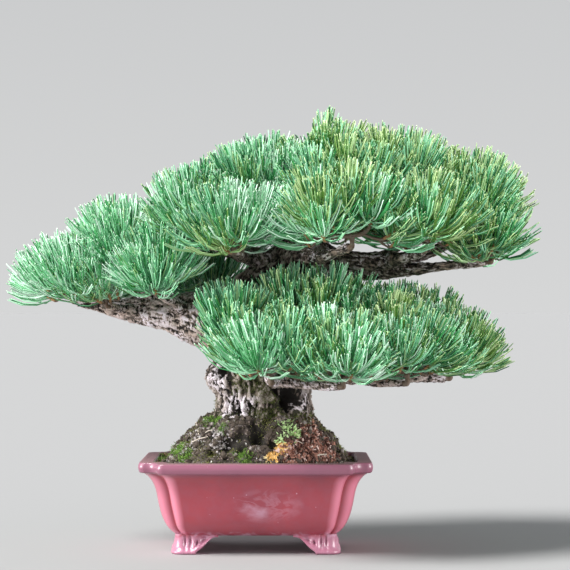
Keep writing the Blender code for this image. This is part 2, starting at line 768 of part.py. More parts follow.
def grow_foliage(paths):
    """All the masses, each keeping off the limbs and off one another."""
    room = Room(20.0)
    for name, path in paths.items():
        spare = GNARL if name == "trunk" else 0
        for (start, radius), (end, next_radius) in zip(path, path[1:]):
            room.add([(start, end, (radius + spare, next_radius + spare))], (name, 0))
    carriers = {bough[2]: paths[name] for name, bough in BOUGHS.items()}
    carriers["crown_apex"] = paths["trunk"]
    stems = {}
    for name in MASSES:
        (before, _), (tip, radius) = carriers[name][-2:]
        stems[name] = plant_stem(name, (tip - before).normalized(), min(radius, 5), room)
    shoots = []
    for name in MASSES:
        shoots += grow_mass(name, stems[name][1], room)
    grow_needles(shoots, room)
    for name in MASSES:
        make_mass(name, stems[name][0], [shoot[3] for shoot in shoots if shoot[0][0] == name])


def centre_tree():
    """Move everything so that the origin lies under the middle of the whole tree."""
    corners = [vert.co for thing in TREE.objects for vert in thing.data.vertices]
    middle = [(min(c[i] for c in corners) + max(c[i] for c in corners)) / 2 for i in range(2)]
    for thing in TREE.objects:
        thing.data.transform(Matrix.Translation((-middle[0], -middle[1], 0)))


def main():
    make_pot()
    make_root_ball()
    grow_foliage(grow_limbs())
    centre_tree()


main()
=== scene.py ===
# %% [markdown]
# # A Japanese white pine bonsai in its clay pot
# The solids of the tree and its pot come in as a fixed frame. They say where the trunk, each bough,
# each mass of needles and the pot are, but they are coarse: a mass is a few dozen thick spikes. Here
# every one of them gets its finished surface in the same place. The limbs could be sculpted and the
# needles could be hair, but a sculpt can't be changed by a number and hair is lost when a model is
# exported. So all of it is grown by rules, from the same tables of sizes that the solids came from.

# %% Load the frame
import math
import random

import bmesh
import bpy
import numpy as np
from mathutils import Matrix, Vector, noise


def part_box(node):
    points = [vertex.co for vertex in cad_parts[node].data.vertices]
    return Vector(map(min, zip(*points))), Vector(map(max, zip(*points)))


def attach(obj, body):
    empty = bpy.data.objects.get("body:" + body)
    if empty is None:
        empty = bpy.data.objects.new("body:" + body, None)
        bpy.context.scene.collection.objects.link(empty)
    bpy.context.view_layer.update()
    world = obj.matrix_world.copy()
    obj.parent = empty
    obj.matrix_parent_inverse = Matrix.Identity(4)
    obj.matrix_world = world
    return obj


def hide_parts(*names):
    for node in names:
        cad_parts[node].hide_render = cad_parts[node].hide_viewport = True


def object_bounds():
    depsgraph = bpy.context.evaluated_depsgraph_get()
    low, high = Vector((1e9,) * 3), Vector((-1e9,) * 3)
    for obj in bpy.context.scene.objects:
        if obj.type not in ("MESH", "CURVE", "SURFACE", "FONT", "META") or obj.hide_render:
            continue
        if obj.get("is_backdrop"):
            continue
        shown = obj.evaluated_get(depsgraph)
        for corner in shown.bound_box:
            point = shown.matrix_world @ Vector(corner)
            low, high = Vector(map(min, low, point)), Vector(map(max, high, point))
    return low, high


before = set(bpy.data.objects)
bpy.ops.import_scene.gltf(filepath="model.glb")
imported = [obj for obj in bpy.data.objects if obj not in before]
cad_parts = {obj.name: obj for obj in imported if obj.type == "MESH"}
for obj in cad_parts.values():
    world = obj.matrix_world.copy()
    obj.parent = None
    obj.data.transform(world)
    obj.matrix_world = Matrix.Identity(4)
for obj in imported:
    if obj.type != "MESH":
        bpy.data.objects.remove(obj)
cad_box = [list(corner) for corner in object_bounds()]
MM = 0.001
NOISE_SEED = 5
noise.seed_set(NOISE_SEED)  # without a seed, the bark's noise would start from the clock
pot_low, pot_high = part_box("pot")
POT_MIDDLE = Vector(((pot_low.x + pot_high.x) / 2, (pot_low.y + pot_high.y) / 2, 0)) / MM
UP = Vector((0, 0, 1))
print("solids:", len(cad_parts), "pot's middle in mm:", tuple(round(v, 2) for v in POT_MIDDLE))

# %% [markdown]
# ## Camera
# The photograph was taken from a little below the crown's middle, level with the gap between the
# crown and the lower branches, with a long lens. The horizon's row gives the camera's height, and
# the pot's known width gives its distance. A long lens could be faked by scaling, but only the true
# distance lets the near pads cover the far ones as they do in the picture.

# %% Set the camera
PICTURE = 570  # pixels a side
FOCAL_PIXELS = 1852
HORIZON_ROW = 307.5
EYE = Vector((23, -1500, 194))  # millimetres from the pot's middle


def new_object(name, data):
    """An object in the scene, made of the given data."""
    thing = bpy.data.objects.new(name, data)
    bpy.context.scene.collection.objects.link(thing)
    return thing


def set_camera():
    data = bpy.data.cameras.new("camera")
    data.sensor_width = 36
    data.lens = data.sensor_width * FOCAL_PIXELS / PICTURE
    camera = new_object("camera", data)
    pitch = math.atan((HORIZON_ROW - PICTURE / 2) / FOCAL_PIXELS)
    camera.location = (EYE + POT_MIDDLE) * MM
    camera.rotation_euler = (math.radians(90) + pitch, 0, 0)
    bpy.context.scene.camera = camera
    return data.lens


print("lens in mm:", round(set_camera(), 1))

# %% [markdown]
# ## Floor and light
# A pale floor and a pale sky let the needles stand out one by one. The main light is soft and comes
# from the upper left, as the bright left edges of the pot and the dark hollows under the pads show.
# A lamp near by would leave a pool of light on the floor and a dark band at the horizon. A sun with a
# wide disc is like a softbox very far off: it lights the floor evenly, and the sky can then be given
# the floor's own brightness at the horizon, so that no line shows there. Two low softboxes, one on
# either side, reach under the crown and give the pot's rounded corners the highlights that the photo
# shows, while its front, which they only graze, keeps its deep red. The camera doesn't see them, and
# their light leaves the floor out, because it would be glaring beside them.

# %% Lay the floor and hang the lights
FLOOR_HALF = 60.0
FLOOR_COLOUR = (0.447, 0.445, 0.441)
HORIZON_COLOUR = (0.668, 0.673, 0.674, 1)
ZENITH_COLOUR = (0.26, 0.28, 0.31, 1)
SUN_WAY = Vector((0.62, 0.38, -1.0))  # the way its light travels
SUN_POWER = 4.2
SUN_DISC = math.radians(24)
# Two softboxes at the sides: place, size in metres and power in watts
SOFTBOXES = {
    "left_side": (Vector((-1.9, -0.6, 0.45)), 0.8, 46),
    "right_side": (Vector((1.9, -0.6, 0.45)), 0.8, 36),
}
LIGHT_TARGET = Vector((0, 0, 0.19))


def plain_material(name, colour, roughness):
    material = bpy.data.materials.new(name)
    material.use_nodes = True
    shader = material.node_tree.nodes["Principled BSDF"]
    shader.inputs["Base Color"].default_value = (*colour[:3], 1)
    shader.inputs["Roughness"].default_value = roughness
    return material


def new_mesh(name, bm):
    """A mesh from what was shaped in a bmesh."""
    mesh = bpy.data.meshes.new(name)
    bm.to_mesh(mesh)
    bm.free()
    return mesh


def lay_floor():
    bm = bmesh.new()
    bmesh.ops.create_grid(bm, x_segments=1, y_segments=1, size=FLOOR_HALF)
    floor = new_object("floor", new_mesh("floor", bm))
    floor.data.materials.append(plain_material("pale_floor", FLOOR_COLOUR, 0.9))
    floor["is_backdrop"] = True
    return floor


def hang_lamp(name, kind, place, way, power):
    data = bpy.data.lights.new(name, kind)
    data.energy = power
    lamp = new_object(name, data)
    lamp.location = place
    lamp.rotation_euler = way.to_track_quat("-Z", "Y").to_euler()
    lamp.visible_camera = False
    return lamp


def spared_things(floor):
    """A collection that tells a lamp to leave the floor out of its light."""
    spared = bpy.data.collections.new("spared_by_softboxes")
    spared.objects.link(floor)
    spared.collection_objects[0].light_linking.link_state = "EXCLUDE"
    return spared


def light_sky():
    """A sky that is as bright as the floor at the horizon and fades upwards."""
    world = bpy.data.worlds.new("sky")
    world.use_nodes = True
    tree = world.node_tree
    place = tree.nodes.new("ShaderNodeTexCoord").outputs["Generated"]
    height = tree.nodes.new("ShaderNodeSeparateXYZ")
    tree.links.new(place, height.inputs[0])
    ramp = tree.nodes.new("ShaderNodeValToRGB")
    ramp.color_ramp.elements[0].color = HORIZON_COLOUR
    ramp.color_ramp.elements[1].color = ZENITH_COLOUR
    tree.links.new(height.outputs["Z"], ramp.inputs["Fac"])
    tree.links.new(ramp.outputs["Color"], tree.nodes["Background"].inputs["Color"])
    bpy.context.scene.world = world
    bpy.context.scene.view_settings.view_transform = "Standard"


spared = spared_things(lay_floor())
hang_lamp("key", "SUN", -2 * SUN_WAY, SUN_WAY, SUN_POWER).data.angle = SUN_DISC
for name, (place, size, power) in SOFTBOXES.items():
    softbox = hang_lamp(name, "AREA", place, LIGHT_TARGET - place, power)
    softbox.data.size = size
    softbox.light_linking.receiver_collection = spared
light_sky()

# %% [markdown]
# ## Helpers for pieces and patterns
# Each finished piece is a mesh whose place is in its points, rides with the whole plant and stands
# for the solids that it covers. Points are worked out in millimetres from the middle of the pot, as
# in the solids' own source, so one helper turns them into metres in the frame.
#
# Clay, bark and soil are all mottled: large soft patches with a finer pattern in them. That is one
# shader group with named inputs, placed in each material with its own values. Copying the same six
# nodes into each material would work as well, but a change would then have to be made three times.

# %% Helpers and the shared mottle
def make_piece(name, places, faces, material):
    """A mesh object from points in millimetres from the pot's middle."""
    mesh = bpy.data.meshes.new(name)
    points = (np.array(places, dtype=float).reshape(-1, 3) + np.array(POT_MIDDLE)) * MM
    mesh.from_pydata(points.tolist(), [], faces)
    mesh.materials.append(material)
    mesh.shade_smooth()
    return new_object(name, mesh)


def hand_over(piece, slot, *nodes):
    """The piece moves with the plant and stands for the named solids. Its slot is not used."""
    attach(piece, "root")
    if nodes:
        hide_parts(*nodes)
    return piece


def set_values(mesh, name, values, domain="POINT"):
    """Store a number, a whole number or a vector for each point or face of a mesh."""
    values = np.array(values)
    kind, slot, number = "FLOAT", "value", np.float32
    if values.dtype.kind == "i":
        kind, number = "INT", np.int32
    elif values.shape[1:] == (3,):
        kind, slot = "FLOAT_VECTOR", "vector"
    mesh.attributes.new(name, kind, domain).data.foreach_set(slot, values.astype(number).ravel())


def stack_faces(first, rings, count):
    """Quads round a stack of rings, whose points lie one after the other from the first."""
    faces = []
    for low in range(first, first + (rings - 1) * count, count):
        high = low + count
        for i in range(count):
            j = (i + 1) % count
            faces.append((low + i, low + j, high + j, high + i))
    return faces


def unit(number):
    """A number held between 0 and 1."""
    return min(1.0, max(0.0, number))


def way_out(angle):
    """The level way out at an angle, seen from above."""
    return Vector((math.cos(angle), math.sin(angle), 0))


def add_node(tree, kind, inputs=(), **settings):
    """A node with its settings, and its inputs set to values or linked from sockets."""
    node = tree.nodes.new(kind)
    for name, value in settings.items():
        setattr(node, name, value)
    for name, value in dict(inputs).items():
        if isinstance(value, bpy.types.NodeSocket):
            tree.links.new(value, node.inputs[name])
        else:
            node.inputs[name].default_value = value
    return node


def calculate(tree, operation, *values, clamp=False):
    """A sum, a product or another calculation with sockets and numbers."""
    inputs = dict(enumerate(values))
    return add_node(tree, "ShaderNodeMath", inputs, operation=operation, use_clamp=clamp).outputs[0]


def times(tree, first, second):
    """Two masks multiplied; either may be a number."""
    return calculate(tree, "MULTIPLY", first, second, clamp=True)


def add_ramp(tree, factor, stops):
    """A colour ramp through (position, colour) stops."""
    node = add_node(tree, "ShaderNodeValToRGB", {"Fac": factor})
    ramp = node.color_ramp
    while len(ramp.elements) < len(stops):
        ramp.elements.new(1)
    for element, (position, colour) in zip(ramp.elements, stops):
        element.position = position
        element.color = (*colour, 1)
    return node.outputs["Color"]


def mix_colours(tree, factor, first, second):
    """One colour fading into another; a plain colour is given as its three numbers."""
    first, second = ((*value, 1) if isinstance(value, tuple) else value for value in (first, second))
    return add_node(tree, "ShaderNodeMix", {0: factor, 6: first, 7: second}, data_type="RGBA").outputs[2]


def between(tree, value, low, high):
    """A mask that rises from 0 to 1 as the value goes from low to high."""
    inputs = {"Value": value, "From Min": low, "From Max": high}
    return add_node(tree, "ShaderNodeMapRange", inputs, clamp=True).outputs["Result"]


def read_value(tree, name):
    """A number stored on the mesh's points."""
    return add_node(tree, "ShaderNodeAttribute", attribute_name=name).outputs["Fac"]


def noise_at(tree, place, scale, detail, distortion=0.0):
    """A noise pattern from 0 to 1."""
    inputs = {"Vector": place, "Scale": scale, "Detail": detail, "Distortion": distortion}
    return add_node(tree, "ShaderNodeTexNoise", inputs).outputs["Fac"]


def mottle_group():
    """Soft patches and a finer grain on Object coordinates, each from 0 to 1."""
    tree = bpy.data.node_groups.new("mottle", "ShaderNodeTree")
    for name, value in (("Patch Scale", 40.0), ("Grain Scale", 900.0), ("Contrast", 1.0)):
        socket = tree.interface.new_socket(name, in_out="INPUT", socket_type="NodeSocketFloat")
        socket.default_value = value
    for name in ("Patches", "Grain"):
        tree.interface.new_socket(name, in_out="OUTPUT", socket_type="NodeSocketFloat")
    given = tree.nodes.new("NodeGroupInput").outputs
    place = tree.nodes.new("ShaderNodeTexCoord").outputs["Object"]
    patches = noise_at(tree, place, given["Patch Scale"], 4, 0.6)
    spread = calculate(tree, "SUBTRACT", patches, 0.5)
    patches = calculate(tree, "MULTIPLY_ADD", spread, given["Contrast"], 0.5, clamp=True)
    grain = noise_at(tree, place, given["Grain Scale"], 2)
    add_node(tree, "NodeGroupOutput", {"Patches": patches, "Grain": grain})
    return tree


MOTTLE = mottle_group()


def add_mottle(tree, patch_scale, grain_scale, contrast):
    inputs = {"Patch Scale": patch_scale, "Grain Scale": grain_scale, "Contrast": contrast}
    node = add_node(tree, "ShaderNodeGroup", inputs, node_tree=MOTTLE)
    return node.outputs["Patches"], node.outputs["Grain"]


def set_look(tree, colour, height, strength, distance):
    """Link a material's colour, and a bump that follows a height."""
    shader = tree.nodes["Principled BSDF"]
    tree.links.new(colour, shader.inputs["Base Color"])
    inputs = {"Height": height, "Strength": strength, "Distance": distance}
    tree.links.new(add_node(tree, "ShaderNodeBump", inputs).outputs["Normal"], shader.inputs["Normal"])


print("shared shader group:", MOTTLE.name)

# %% [markdown]
# ## The clay
# The pot is unglazed red clay, matt with a soft sheen on its rounded corners. Years of hard water
# have left a mauve bloom on the lip and on the feet, whitish smears low on the front and specks here
# and there. A picture could be painted for that, but it would be tied to this pot's mapping. Noise
# does it: broad patches shift the red, and height above the table brings in the bloom, the dull
# dusty top of the rim and the pale line where the wall meets the feet. On the crests of the lobes a
# paler pink is painted in as a highlight, by a number that the pot's points carry. The wisps on the
# front are the places where a stretched noise crosses its middle value, held inside a soft ball.

# %% Make the clay
CLAY_RED = (0.39, 0.048, 0.07)
CLAY_DEEP = (0.28, 0.034, 0.055)
CLAY_BLOOM = (0.26, 0.105, 0.165)
CLAY_DUST = (0.2, 0.105, 0.11)
FOOT_BLOOM = (0.6, 0.34, 0.5)
CLAY_SALT = (0.72, 0.51, 0.66)
# A paler pink painted on the crests of the lobes as a highlight
CLAY_LOBE_HIGHLIGHT = (0.88, 0.32, 0.44)
CLAY_POLISH = 0.6  # hands and weather have given the bare clay a faint polish
POLISH_ROUGHNESS = 0.34
CLAY_PATCHES = (26, 1500, 2.4)  # the scales of a mottle's patches and grain, and its contrast
CLAY_FINE_PATCHES = (150, 1500, 3.0)
# Heights above the table in metres, between which a shade comes in
LIP_HEIGHTS = (0.0615, 0.0655)
TOP_HEIGHTS = (0.0724, 0.0729)
SEAM_HEIGHTS = ((0.0185, 0.0155), (0.011, 0.0145))
FOOT_HEIGHTS = (0.016, 0.012)
SMEAR_PLACE = (9, -56, 39)  # the middle of the front smear, from the pot's middle
SMEAR_REACH = (30, 26, 15)
WISP_WIDTH = 0.05
WISP_SHARE = 0.3
HAZE_SHARE = 0.7
SPECK_SCALE = 330


def vein_mask(tree, place, scale, width):
    """Thin lines where a distorted noise crosses its middle value."""
    crossing = calculate(tree, "PINGPONG", noise_at(tree, place, scale, 5, 0.9), 0.5)
    return between(tree, crossing, 0.5 - width, 0.5)


def salt_mask(tree, place):
    """Where salts have dried: wisps in a haze on the front, and a few specks everywhere."""
    middle = (Vector(SMEAR_PLACE) + POT_MIDDLE) * MM
    inputs = {"Vector": place, "Location": middle, "Scale": Vector(SMEAR_REACH) * MM}
    shape = add_node(tree, "ShaderNodeMapping", inputs, vector_type="TEXTURE").outputs[0]
    ball = add_node(tree, "ShaderNodeTexGradient", {"Vector": shape}, gradient_type="SPHERICAL")
    inside = between(tree, ball.outputs["Fac"], 0.0, 0.55)
    wisps = times(tree, vein_mask(tree, shape, 1.3, WISP_WIDTH), times(tree, inside, WISP_SHARE))
    haze = between(tree, noise_at(tree, shape, 1.9, 7, 0.3), 0.48, 0.7)
    haze = times(tree, haze, times(tree, inside, HAZE_SHARE))
    specks = between(tree, noise_at(tree, place, SPECK_SCALE, 1), 0.76, 0.82)
    return calculate(tree, "MAXIMUM", calculate(tree, "MAXIMUM", wisps, haze), specks)


def clay_material():
    material = plain_material("red_clay", CLAY_RED, 0.4)
    tree = material.node_tree
    shader = tree.nodes["Principled BSDF"]
    place = tree.nodes.new("ShaderNodeTexCoord").outputs["Object"]
    height = add_node(tree, "ShaderNodeSeparateXYZ", {"Vector": place}).outputs["Z"]
    patches, grain = add_mottle(tree, *CLAY_PATCHES)
    fine_patches, _ = add_mottle(tree, *CLAY_FINE_PATCHES)
    seam = times(tree, *(between(tree, height, *edge) for edge in SEAM_HEIGHTS))
    seam = times(tree, seam, between(tree, fine_patches, 0.4, 0.9))
    # Each shade that lies over the red: where, how strongly and its colour
    shades = (
        (fine_patches, 0.16, CLAY_BLOOM),
        # The crests of the lobes: a painted highlight
        (read_value(tree, "lobe"), 0.55, CLAY_LOBE_HIGHLIGHT),
        (between(tree, height, *LIP_HEIGHTS), 0.8, CLAY_BLOOM),
        (between(tree, height, *TOP_HEIGHTS), 0.85, CLAY_DUST),
        (seam, 0.45, CLAY_SALT),
        (between(tree, height, *FOOT_HEIGHTS), 0.42, FOOT_BLOOM),
        (salt_mask(tree, place), 0.55, CLAY_SALT),
    )
    colour = mix_colours(tree, patches, CLAY_DEEP, CLAY_RED)
    for mask, share, shade in shades:
        colour = mix_colours(tree, times(tree, mask, share), colour, shade)
    # The rim's flat top is dusty, so it is rougher than the rest and has no polish
    smooth = between(tree, height, *reversed(TOP_HEIGHTS))
    rough = calculate(tree, "SUBTRACT", between(tree, patches, -7.2, 4.2), times(tree, smooth, 0.35))
    tree.links.new(rough, shader.inputs["Roughness"])
    tree.links.new(times(tree, smooth, CLAY_POLISH), shader.inputs["Coat Weight"])
    shader.inputs["Coat Roughness"].default_value = POLISH_ROUGHNESS
    set_look(tree, colour, grain, 0.3, 0.00015)
    return material


CLAY = clay_material()
print("clay made with", len(CLAY.node_tree.nodes), "nodes")

# %% [markdown]
# ## The pot's body
# The real pot was pressed in a mould: a rectangle whose corners are notched inwards, so that two
# rounded lobes run down each corner. Low down they meet in a sharp groove, which opens into a soft
# hollow at the lip. It could be a box with bevels, but the notch has to change evenly from the lip
# to the foot. So the outline is a function of a height's half width, half depth, notch and groove,
# and the body is lofted through it: up the outside wall, over the rounded lip and down the inside.
# The steps are close to the solids' own, with a curve through them.

# %% Loft the body
RIM_HALF_WIDTH = 92.0
RIM_HALF_DEPTH = 70.0
POT_HEIGHT = 73.0
POT_UNDERSIDE = 14.5
LIP_HEIGHT = 8.5
LIP_NOTCH = 15.0
LOBE_SHARE = 0.8  # the most that a lobe's radius may be of its notch
LIP_GROOVE = 9.0
LOBE_POINTS = 10
GROOVE_POINTS = 6
LIP_LOWER_ROUND = 2.0
LIP_UPPER_ROUND = 1.2
LIP_BULGE = 0.5
# Each step of a wall: height above the table, how far inside the lip, its notch and its groove's radius
WALL_STEPS = (
    (14.5, 29.5, 5.0, 1.0),
    (16.8, 26.0, 7.0, 1.0),
    (21.5, 21.8, 8.4, 1.0),
    (29.0, 18.0, 10.2, 1.0),
    (38.5, 15.4, 10.8, 1.0),
    (49.0, 13.4, 11.0, 1.0),
    (56.0, 11.0, 11.6, 1.4),
    (61.0, 7.6, 12.8, 3.0),
    (64.0, 4.2, 14.4, 7.0),
)
INNER_STEPS = (
    (72.9, 11.0, 12.0, 7.0),
    (60.0, 16.0, 9.0, 5.0),
    (32.0, 23.5, 8.0, 4.0),
    (20.5, 30.0, 6.0, 3.0),
)
LIP_TUCK = 1.6  # how far the wall lies behind the lip's lower edge
LIP_FACE_STEPS = 6
TOP_STEPS = ((0.0, 5.0), (0.1, 9.8))  # the flat top: how far below the rim, and inside the lip
NOTCH_LOSS = 0.22  # how fast the notch narrows across the flat top
DRAIN_RADIUS = 7.0
DRAIN_DEPTH = 24.0
DRAIN_OFFSET = 30.0


def quarter_turn(steps):
    """Cosine and sine at even steps of a quarter circle, both ends included."""
    angles = [math.radians(90) * step / steps for step in range(steps + 1)]
    return [(math.cos(angle), math.sin(angle)) for angle in angles]


def arc(middle, radius, start, end, steps):
    """Points on an arc, both ends included."""
    angles = [start + (end - start) * step / steps for step in range(steps + 1)]
    return [(middle.x + radius * math.cos(angle), middle.y + radius * math.sin(angle)) for angle in angles]


def notched_outline(half_width, half_depth, notch, groove):
    """Points round a rectangle whose corners are notched: a round lobe, a groove, a lobe again."""
    lobe = min(notch * LOBE_SHARE, notch - groove)
    side = Vector((half_width - lobe, half_depth - lobe - notch))
    front = Vector((half_width - lobe - notch, half_depth - lobe))
    out = math.sqrt(((lobe + groove) ** 2 - notch**2 / 2) / 2)
    hollow = (side + front) / 2 + Vector((out, out))
    meet = math.atan2(hollow.y - side.y, hollow.x - side.x)
    corner = arc(side, lobe, 0, meet, LOBE_POINTS)
    corner += arc(hollow, groove, meet + math.pi, 1.5 * math.pi - meet, GROOVE_POINTS)[1:-1]
    corner += arc(front, lobe, 0.5 * math.pi - meet, 0.5 * math.pi, LOBE_POINTS)
    back = [(-x, y) for x, y in reversed(corner)]
    return corner + back + [(-x, -y) for x, y in corner] + [(x, -y) for x, y in reversed(corner)]


def through(stations, steps):
    """A smooth curve through rows of numbers, with steps between each two rows."""
    rows = np.array(stations, dtype=float)
    padded = np.vstack([2 * rows[0] - rows[1], rows, 2 * rows[-1] - rows[-2]])
    made = []
    for i in range(len(rows) - 1):
        a, b, c, d = padded[i : i + 4]
        for step in range(steps):
            t = step / steps
            made.append(0.5 * (2 * b + (c - a) * t + (2 * a - 5 * b + 4 * c - d) * t**2
                               + (3 * b - a - 3 * c + d) * t**3))
    made.append(rows[-1])
    return np.array(made)


def lip_steps():
    """The lip's rounded lower edge, slightly bulging face, rounded upper edge and flat top."""
    low, high = POT_HEIGHT - LIP_HEIGHT, POT_HEIGHT
    lower, upper = LIP_LOWER_ROUND, LIP_UPPER_ROUND
    steps = [(low, lower + LIP_TUCK)]
    steps += [(low + lower * (1 - c), LIP_BULGE + lower * (1 - s)) for c, s in quarter_turn(5)]
    for step in range(1, LIP_FACE_STEPS):
        share = step / LIP_FACE_STEPS
        height = low + lower + (high - low - lower - upper) * share
        steps.append((height, LIP_BULGE * (2 * share - 1) ** 2))
    steps += [(high - upper * (1 - s), LIP_BULGE + upper * (1 - c)) for c, s in quarter_turn(4)]
    steps += [(high - drop, inset) for drop, inset in TOP_STEPS]
    notches = [LIP_NOTCH - NOTCH_LOSS * max(0, inset - 2) for _, inset in steps]
    return [(*step, notch, LIP_GROOVE) for step, notch in zip(steps, notches)]


def lobe_shares():
    """For each point of an outline, the share of painted highlight: 1 on the crest of a lobe, 0 in the
    groove and on the flat sides.
    """
    crest = [math.sin(math.pi * step / LOBE_POINTS) for step in range(LOBE_POINTS + 1)]
    return (crest + [0.0] * (GROOVE_POINTS - 1) + crest) * 4


def loft_body():
    walls = [tuple(row) for row in through(WALL_STEPS, 4)]
    steps = walls + lip_steps() + [tuple(row) for row in through(INNER_STEPS, 3)]
    places, lobes = [], []
    for level, (height, inset, notch, groove) in enumerate(steps):
        outline = notched_outline(RIM_HALF_WIDTH - inset, RIM_HALF_DEPTH - inset, notch, groove)
        places += [(x, y, height) for x, y in outline]
        # The share of painted highlight, on the outside wall only
        lobes += [share * (level < len(walls)) for share in lobe_shares()]
    count = len(outline)
    faces = stack_faces(0, len(steps), count)
    faces.append(tuple(reversed(range(count))))
    faces.append(tuple(range(len(places) - count, len(places))))
    body = make_piece("pot_body", places, faces, CLAY)
    set_values(body.data, "lobe", lobes)
    return body


def cut_drains(body):
    """Two round drain holes through the floor."""
    for side in (-1, 1):
        bm = bmesh.new()
        place = (Vector((side * DRAIN_OFFSET, 0, POT_UNDERSIDE)) + POT_MIDDLE) * MM
        bmesh.ops.create_cone(
            bm, cap_ends=True, segments=32, radius1=DRAIN_RADIUS * MM, radius2=DRAIN_RADIUS * MM,
            depth=DRAIN_DEPTH * MM, matrix=Matrix.Translation(place),
        )
        drain = new_object("drain", new_mesh("drain", bm))
        cut = body.modifiers.new("cut", "BOOLEAN")
        cut.object = drain
        settle(body)
        bpy.data.objects.remove(drain)


def settle(thing):
    """Keep the evaluated mesh and drop the modifiers."""
    bpy.context.view_layer.update()
    graph = bpy.context.evaluated_depsgraph_get()
    mesh = bpy.data.meshes.new_from_object(thing.evaluated_get(graph))
    thing.modifiers.clear()
    thing.data = mesh


pot_body = loft_body()
cut_drains(pot_body)
pot_body.data.set_sharp_from_angle(angle=math.radians(50))
print("pot body faces:", len(pot_body.data.polygons))

# %% [markdown]
# ## The feet
# Each corner stands on a carved bracket foot: a toe with a rounded pad, flutes above it, a curl
# where the toe ends, and a wing along either side whose scalloped lower edge is beaded like the rim
# of a leaf. It could be sculpted, but a sculpt can't follow the pot when a size changes. Instead
# upright sections are lofted from one wing's tip round the corner to the other's, and the carving is
# a function of how far along the foot and how high up a point is.

# %% Loft the feet
FOOT_LENGTH = 33.0
FOOT_THICKNESS = 9.0
FOOT_CORNER = (62.5, 40.5)
TOE_LENGTH = 15.0
TOE_RADIUS = 5.0
TOE_FLARE = 4.5
FOOT_SINK = 1.2  # how far a foot reaches up into the pot
WING_DROP = 1.2  # how far a wing's tip stays below the pot
WING_STEPS = 40
BEND_STEPS = 9
FACE_STEPS = 16
# Each carved mark: where it lies along the foot and up its face, its reach, how far it stands out
CARVING = (
    ((3.0, 0.6), (1.0, 0.3), -1.5),
    ((7.0, 0.6), (1.1, 0.32), -1.9),
    ((11.2, 0.62), (1.1, 0.3), -1.7),
    ((15.6, 0.5), (3.0, 0.34), 1.7),
    ((16.2, 0.5), (1.2, 0.15), -3.6),
    ((22.0, 0.62), (3.4, 0.3), -1.9),
)
FACE_LEAN = 1.5
# The rounded pad of the toe and the bead of the wing: how high, how broad and how far out
TOE_PAD = (0.14, 0.12, 1.0)
WING_BEAD = (0.16, 0.14, 1.1)
EDGE_ROUNDING = 1.3


def foot_underside(along):
    """The height of a foot's lower edge along its side: a toe, then a scalloped wing."""
    if along <= TOE_LENGTH:
        return 0.0
    share = (along - TOE_LENGTH) / (FOOT_LENGTH - TOE_LENGTH)
    return (POT_UNDERSIDE - WING_DROP) * (share**0.6 - 0.1 * math.sin(share * math.tau))


def foot_stations():
    """Places along a foot from one wing's tip round the corner to the other's."""
    wing = []
    for step in range(WING_STEPS + 1):
        along = FOOT_LENGTH + (TOE_RADIUS - FOOT_LENGTH) * step / WING_STEPS
        wing.append((Vector((along, 0, 0)), Vector((0, -1, 0)), along))
    bend = []
    for step in range(1, BEND_STEPS):
        angle = math.radians(270 - 90 * step / BEND_STEPS)
        out = way_out(angle)
        bend.append((Vector((TOE_RADIUS, TOE_RADIUS, 0)) + out * TOE_RADIUS, out, 0.0))
    other = [(place.yxz, out.yxz, along) for place, out, along in reversed(wing)]
    return wing + bend + other


def foot_face(along, low, share):
    """How far a foot's face stands out at a share of its height, with its carving."""
    flare = TOE_FLARE * (1 - low / (POT_UNDERSIDE + 1))
    out = FACE_LEAN * share + flare * (1 - share) ** 2.4
    for (middle, level), (reach, rise), depth in CARVING:
        away = ((along - middle) / reach) ** 2 + ((share - level) / rise) ** 2
        out += depth * math.exp(-away)
    toe = unit((TOE_LENGTH + 2 - along) / 4)
    for weight, (level, rise, depth) in ((toe, TOE_PAD), (1 - toe, WING_BEAD)):
        out += weight * depth * math.exp(-(((share - level) / rise) ** 2))
    edge = math.sqrt(max(0.0, 1 - (1 - min(1, share * 9)) ** 2))
    return out - EDGE_ROUNDING * (1 - edge)


def foot_section(place, out, along):
    """An upright slice through a foot, up its face and down its back."""
    low, top = foot_underside(along), POT_UNDERSIDE + FOOT_SINK
    inner = place - out * FOOT_THICKNESS
    if along == 0.0:
        inner = Vector((1, 1, 0)) * (FOOT_THICKNESS + TOE_RADIUS * 0.3)
    section = []
    for step in range(FACE_STEPS + 1):
        share = step / FACE_STEPS
        face = place + out * foot_face(along, low, share)
        section.append(face + UP * (low + (top - low) * share))
    return section + [inner + UP * top, inner + UP * low]


def make_feet():
    places, faces = [], []
    sections = [foot_section(*station) for station in foot_stations()]
    count = len(sections[0])
    for side_x, side_y in ((-1, -1), (-1, 1), (1, -1), (1, 1)):
        first = len(places)
        for spot in sum(sections, []):
            x, y = FOOT_CORNER[0] - spot.x, FOOT_CORNER[1] - spot.y
            places.append((side_x * x, side_y * y, spot.z))
        faces += stack_faces(first, len(sections), count)
        faces.append(tuple(range(first, first + count))[::-1])
        faces.append(tuple(range(len(places) - count, len(places))))
    feet = make_piece("pot_feet", places, faces, CLAY)
    feet.data.set_sharp_from_angle(angle=math.radians(60))
    return feet


def face_outwards(thing):
    """Turn every face of a closed mesh outwards."""
    bm = bmesh.new()
    bm.from_mesh(thing.data)
    bmesh.ops.remove_doubles(bm, verts=bm.verts, dist=0.01 * MM)
    bmesh.ops.recalc_face_normals(bm, faces=bm.faces)
    bm.to_mesh(thing.data)
    bm.free()


pot_feet = make_feet()
for piece in (pot_body, pot_feet):
    face_outwards(piece)
    hand_over(piece, "red_clay", "pot")
print("feet faces:", len(pot_feet.data.polygons))
